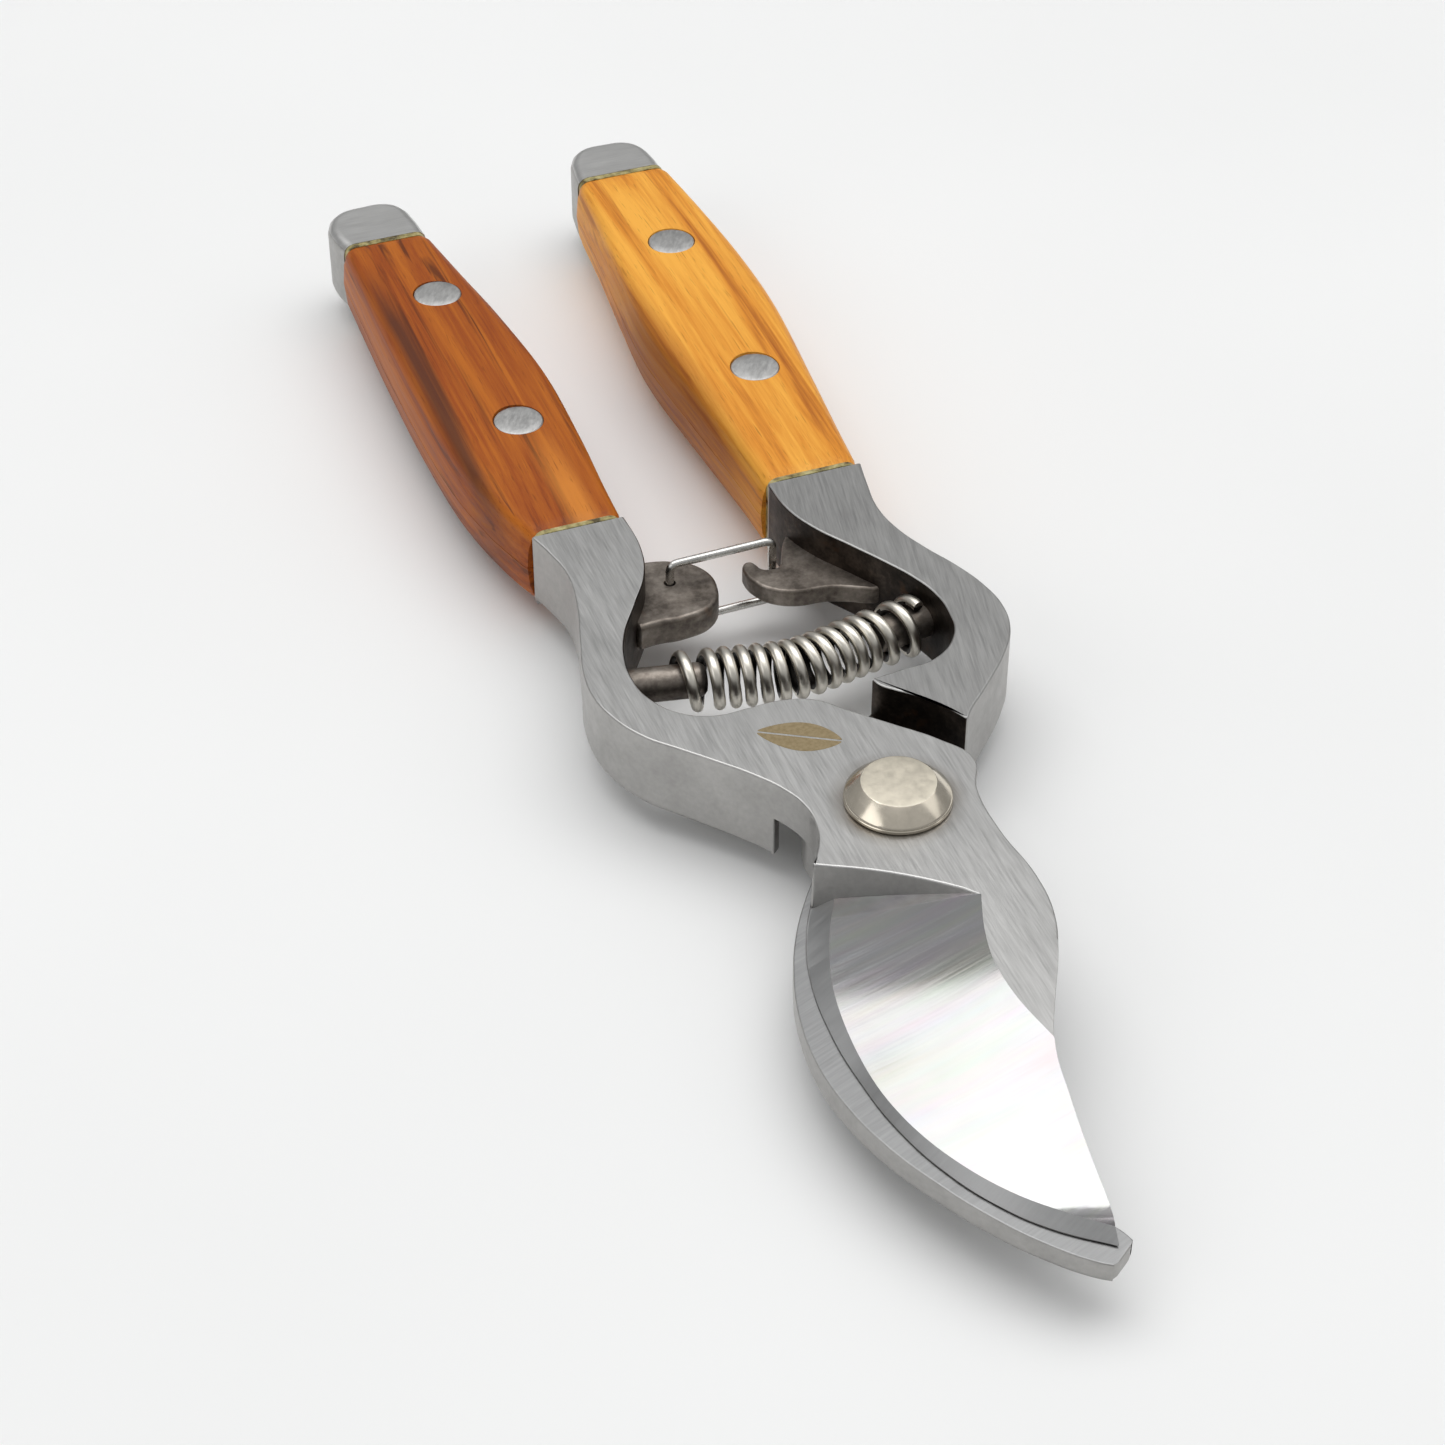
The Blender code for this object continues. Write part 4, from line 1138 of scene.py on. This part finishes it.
def rivet(name, spot, line, look, body, node):
    """A flush rivet, ground with the wood, so its face is slightly domed."""
    rise = crown_height(line, spot[1]) - 0.06
    _, left, right = along_line(line, share_at(line, spot[1]))
    half, middle = (right - left) / 2, (right + left) / 2
    rise *= 1 - ((spot[0] - middle) / half) ** 2
    top, foot = ARM_TOP + rise, ARM_BOTTOM - rise
    dome = [(0.0, 0.05), (1.5, 0.03), (2.6, -0.02), (2.86, -0.08), (RIVET_RADIUS, -0.22)]
    profile = [(radius, top + height) for radius, height in dome]
    profile += [(radius, foot - height) for radius, height in dome[::-1]]
    made = turned(name, profile, 64, Matrix.Translation((spot[0], spot[1], 0.0)))
    made.data.materials.append(look)
    smooth(made, 30)
    return piece(made, body, "rivet_metal", node)


def runs_along(edge):
    """1 for an edge that runs along the handle, and 0 for the others."""
    return float(abs(edge.verts[0].co.y - edge.verts[1].co.y) > 0.3 * MM)


def seam(name, sides, ends, body):
    """Set resin that fills the joint between wood and steel, from one side to the other."""
    (left, right), (low, high) = sides, ends
    outline = [(left, low, 1), (right, low, 1), (right, high, 1), (left, high, 1)]
    made = slab(name, outline, 3.1, ARM_TOP - 0.05, 6)
    made.data.materials.append(resin)
    made = round_edges(made, 1.4, runs_along, 5)
    return piece(made, body, "reddish_wood" if body == "arm_a" else "honey_wood")


SEAM_INSET = 0.25
# Where the resin starts and ends, from the first and from the last section of the wood.
SEAM_FRONT = (-0.34, 0.34)
SEAM_REAR = (-0.54, 0.34)


def handle(letter, line, rivets, look, slot_name):
    """Everything on one handle: two scales, two rivets and the resin at both ends."""
    body = f"arm_{letter}"
    for side, word in ((1, "top"), (-1, "bottom")):
        node = f"scale_{letter}_{word}"
        scale(f"wood_{letter}_{word}", line, rivets, side, look, body, slot_name, node)
    for spot, word in zip(rivets, ("front", "rear")):
        rivet(f"pin_{letter}_{word}", spot, line, rivet_metal, body, f"rivet_{letter}_{word}")
    for (y, left, right), reach, word in ((line[0], SEAM_FRONT, "front"), (line[-1], SEAM_REAR, "rear")):
        sides = (left + SEAM_INSET, right - SEAM_INSET)
        seam(f"resin_{letter}_{word}", sides, (y + reach[0], y + reach[1]), body)


handle("a", WOOD_A, RIVETS_A, wood_a, "reddish_wood")
handle("b", WOOD_B, RIVETS_B, wood_b, "honey_wood")


# ---- etched leaf


LEAF_LENGTH = 9.0
LEAF_WIDTH = 2.3
LEAF_VEIN = 0.12
LEAF_STEPS = 28
LEAF_TURN = 150
LEAF_AT = (-5.8, 12.9)


def leaf():
    """A plain leaf in two halves, etched on the plate."""
    reach = [step / LEAF_STEPS for step in range(LEAF_STEPS + 1)]
    outline = []
    for t in reach:
        width = LEAF_WIDTH * math.sin(math.pi * t) ** 0.8 * (1 - 0.25 * t)
        outline.append((LEAF_LENGTH * (t - 0.5), width + 0.28))
    outline += [(LEAF_LENGTH * (t - 0.5), LEAF_VEIN) for t in reach[::-1]]
    turn = Matrix.Rotation(math.radians(LEAF_TURN), 4, "Z")
    for number, sign in ((1, 1), (2, -1)):
        spots = [turn @ Vector((x, y * sign, 0)) for x, y in outline]
        edge = [(spot.x + LEAF_AT[0], spot.y + LEAF_AT[1], 1) for spot in spots]
        made = slab(f"leaf_mark_{number}", edge, ARM_TOP - 0.01, ARM_TOP + 0.012, 1)
        made.data.materials.append(etch)
        piece(made, "arm_a", "steel_arm_a")


leaf()


# ---- stage, light and camera


def floor_look():
    n = Nodes("paper")
    soft = n.noise(9, 2.0, 0.5)
    colour = n.ramp(soft, [(0.3, (0.86, 0.86, 0.855)), (0.7, (0.89, 0.89, 0.885))])
    return n.finish(colour, 0.6)


FLOOR_HALF = 4000.0


bm = bmesh.new()
bmesh.ops.create_grid(bm, x_segments=8, y_segments=8, size=FLOOR_HALF)
floor = from_bmesh(bm, "floor")
floor.data.materials.append(floor_look())

world = bpy.context.scene.world or bpy.data.worlds.new("World")
bpy.context.scene.world = world
world.use_nodes = True
sky = world.node_tree
up = sky.nodes.new("ShaderNodeSeparateXYZ")
sky.links.new(sky.nodes.new("ShaderNodeTexCoord").outputs["Generated"], up.inputs[0])
# The room's brightness, from straight below (0) over the horizon to straight above (1).
ROOM_LEVELS = ((0.0, 0.28), (0.40, 0.34), (0.64, 0.48), (0.82, 0.47), (1.0, 0.95))
steps = sky.nodes.new("ShaderNodeValToRGB")
for _ in range(len(ROOM_LEVELS) - 2):
    steps.color_ramp.elements.new(0.5)
for stop, (where, level) in zip(steps.color_ramp.elements, ROOM_LEVELS):
    stop.position = where
    stop.color = (level * 0.985, level * 0.995, level, 1.0)
sky.links.new(up.outputs["Z"], steps.inputs["Fac"])
sky.links.new(steps.outputs["Color"], sky.nodes["Background"].inputs["Color"])
sky.nodes["Background"].inputs["Strength"].default_value = 1.0


LIT = Vector((0.0, 0.03, 0.0))


def softbox(name, azimuth, elevation, distance, width, height, radiance):
    """A soft panel that faces the object, in metres. Azimuth 0 is +Y and 90 is +X."""
    a, e = math.radians(azimuth), math.radians(elevation)
    away = Vector((math.sin(a) * math.cos(e), math.cos(a) * math.cos(e), math.sin(e)))
    light = bpy.data.lights.new(name, "AREA")
    light.shape = "RECTANGLE"
    light.size = width
    light.size_y = height
    light.energy = radiance * math.pi * width * height
    obj = bpy.data.objects.new(name, light)
    bpy.context.scene.collection.objects.link(obj)
    obj.location = LIT + away * distance
    obj.rotation_euler = away.to_track_quat("Z", "Y").to_euler()


softbox("back_panel", 14, 75.5, 1.3, 2.0, 1.05, 1.70)
softbox("left_panel", -100, 36, 1.4, 0.9, 0.6, 1.0)
softbox("right_panel", 100, 40, 1.4, 0.9, 0.7, 0.6)

# Azimuth 0 looks from -Y, and a negative one from further left.
CAMERA_AZIMUTH = -20.85
CAMERA_ELEVATION = 40.4
CAMERA_DISTANCE = 340.6
CAMERA_LENS = 79.72
LOOK_AT = (-12.61, 17.91, 13.0)
turn, tilt = math.radians(CAMERA_AZIMUTH), math.radians(CAMERA_ELEVATION)
back = Vector((math.sin(turn) * math.cos(tilt), -math.cos(turn) * math.cos(tilt), math.sin(tilt)))
camera_data = bpy.data.cameras.new("camera")
camera_data.lens = CAMERA_LENS
camera_data.sensor_width = 36.0
camera_data.clip_start = 0.01
camera = bpy.data.objects.new("camera", camera_data)
bpy.context.scene.collection.objects.link(camera)
camera.location = (Vector(LOOK_AT) + back * CAMERA_DISTANCE) * MM
camera.rotation_mode = "QUATERNION"
camera.rotation_quaternion = (-back).to_track_quat("-Z", "Y")
bpy.context.scene.camera = camera
bpy.context.scene.view_settings.view_transform = "Standard"
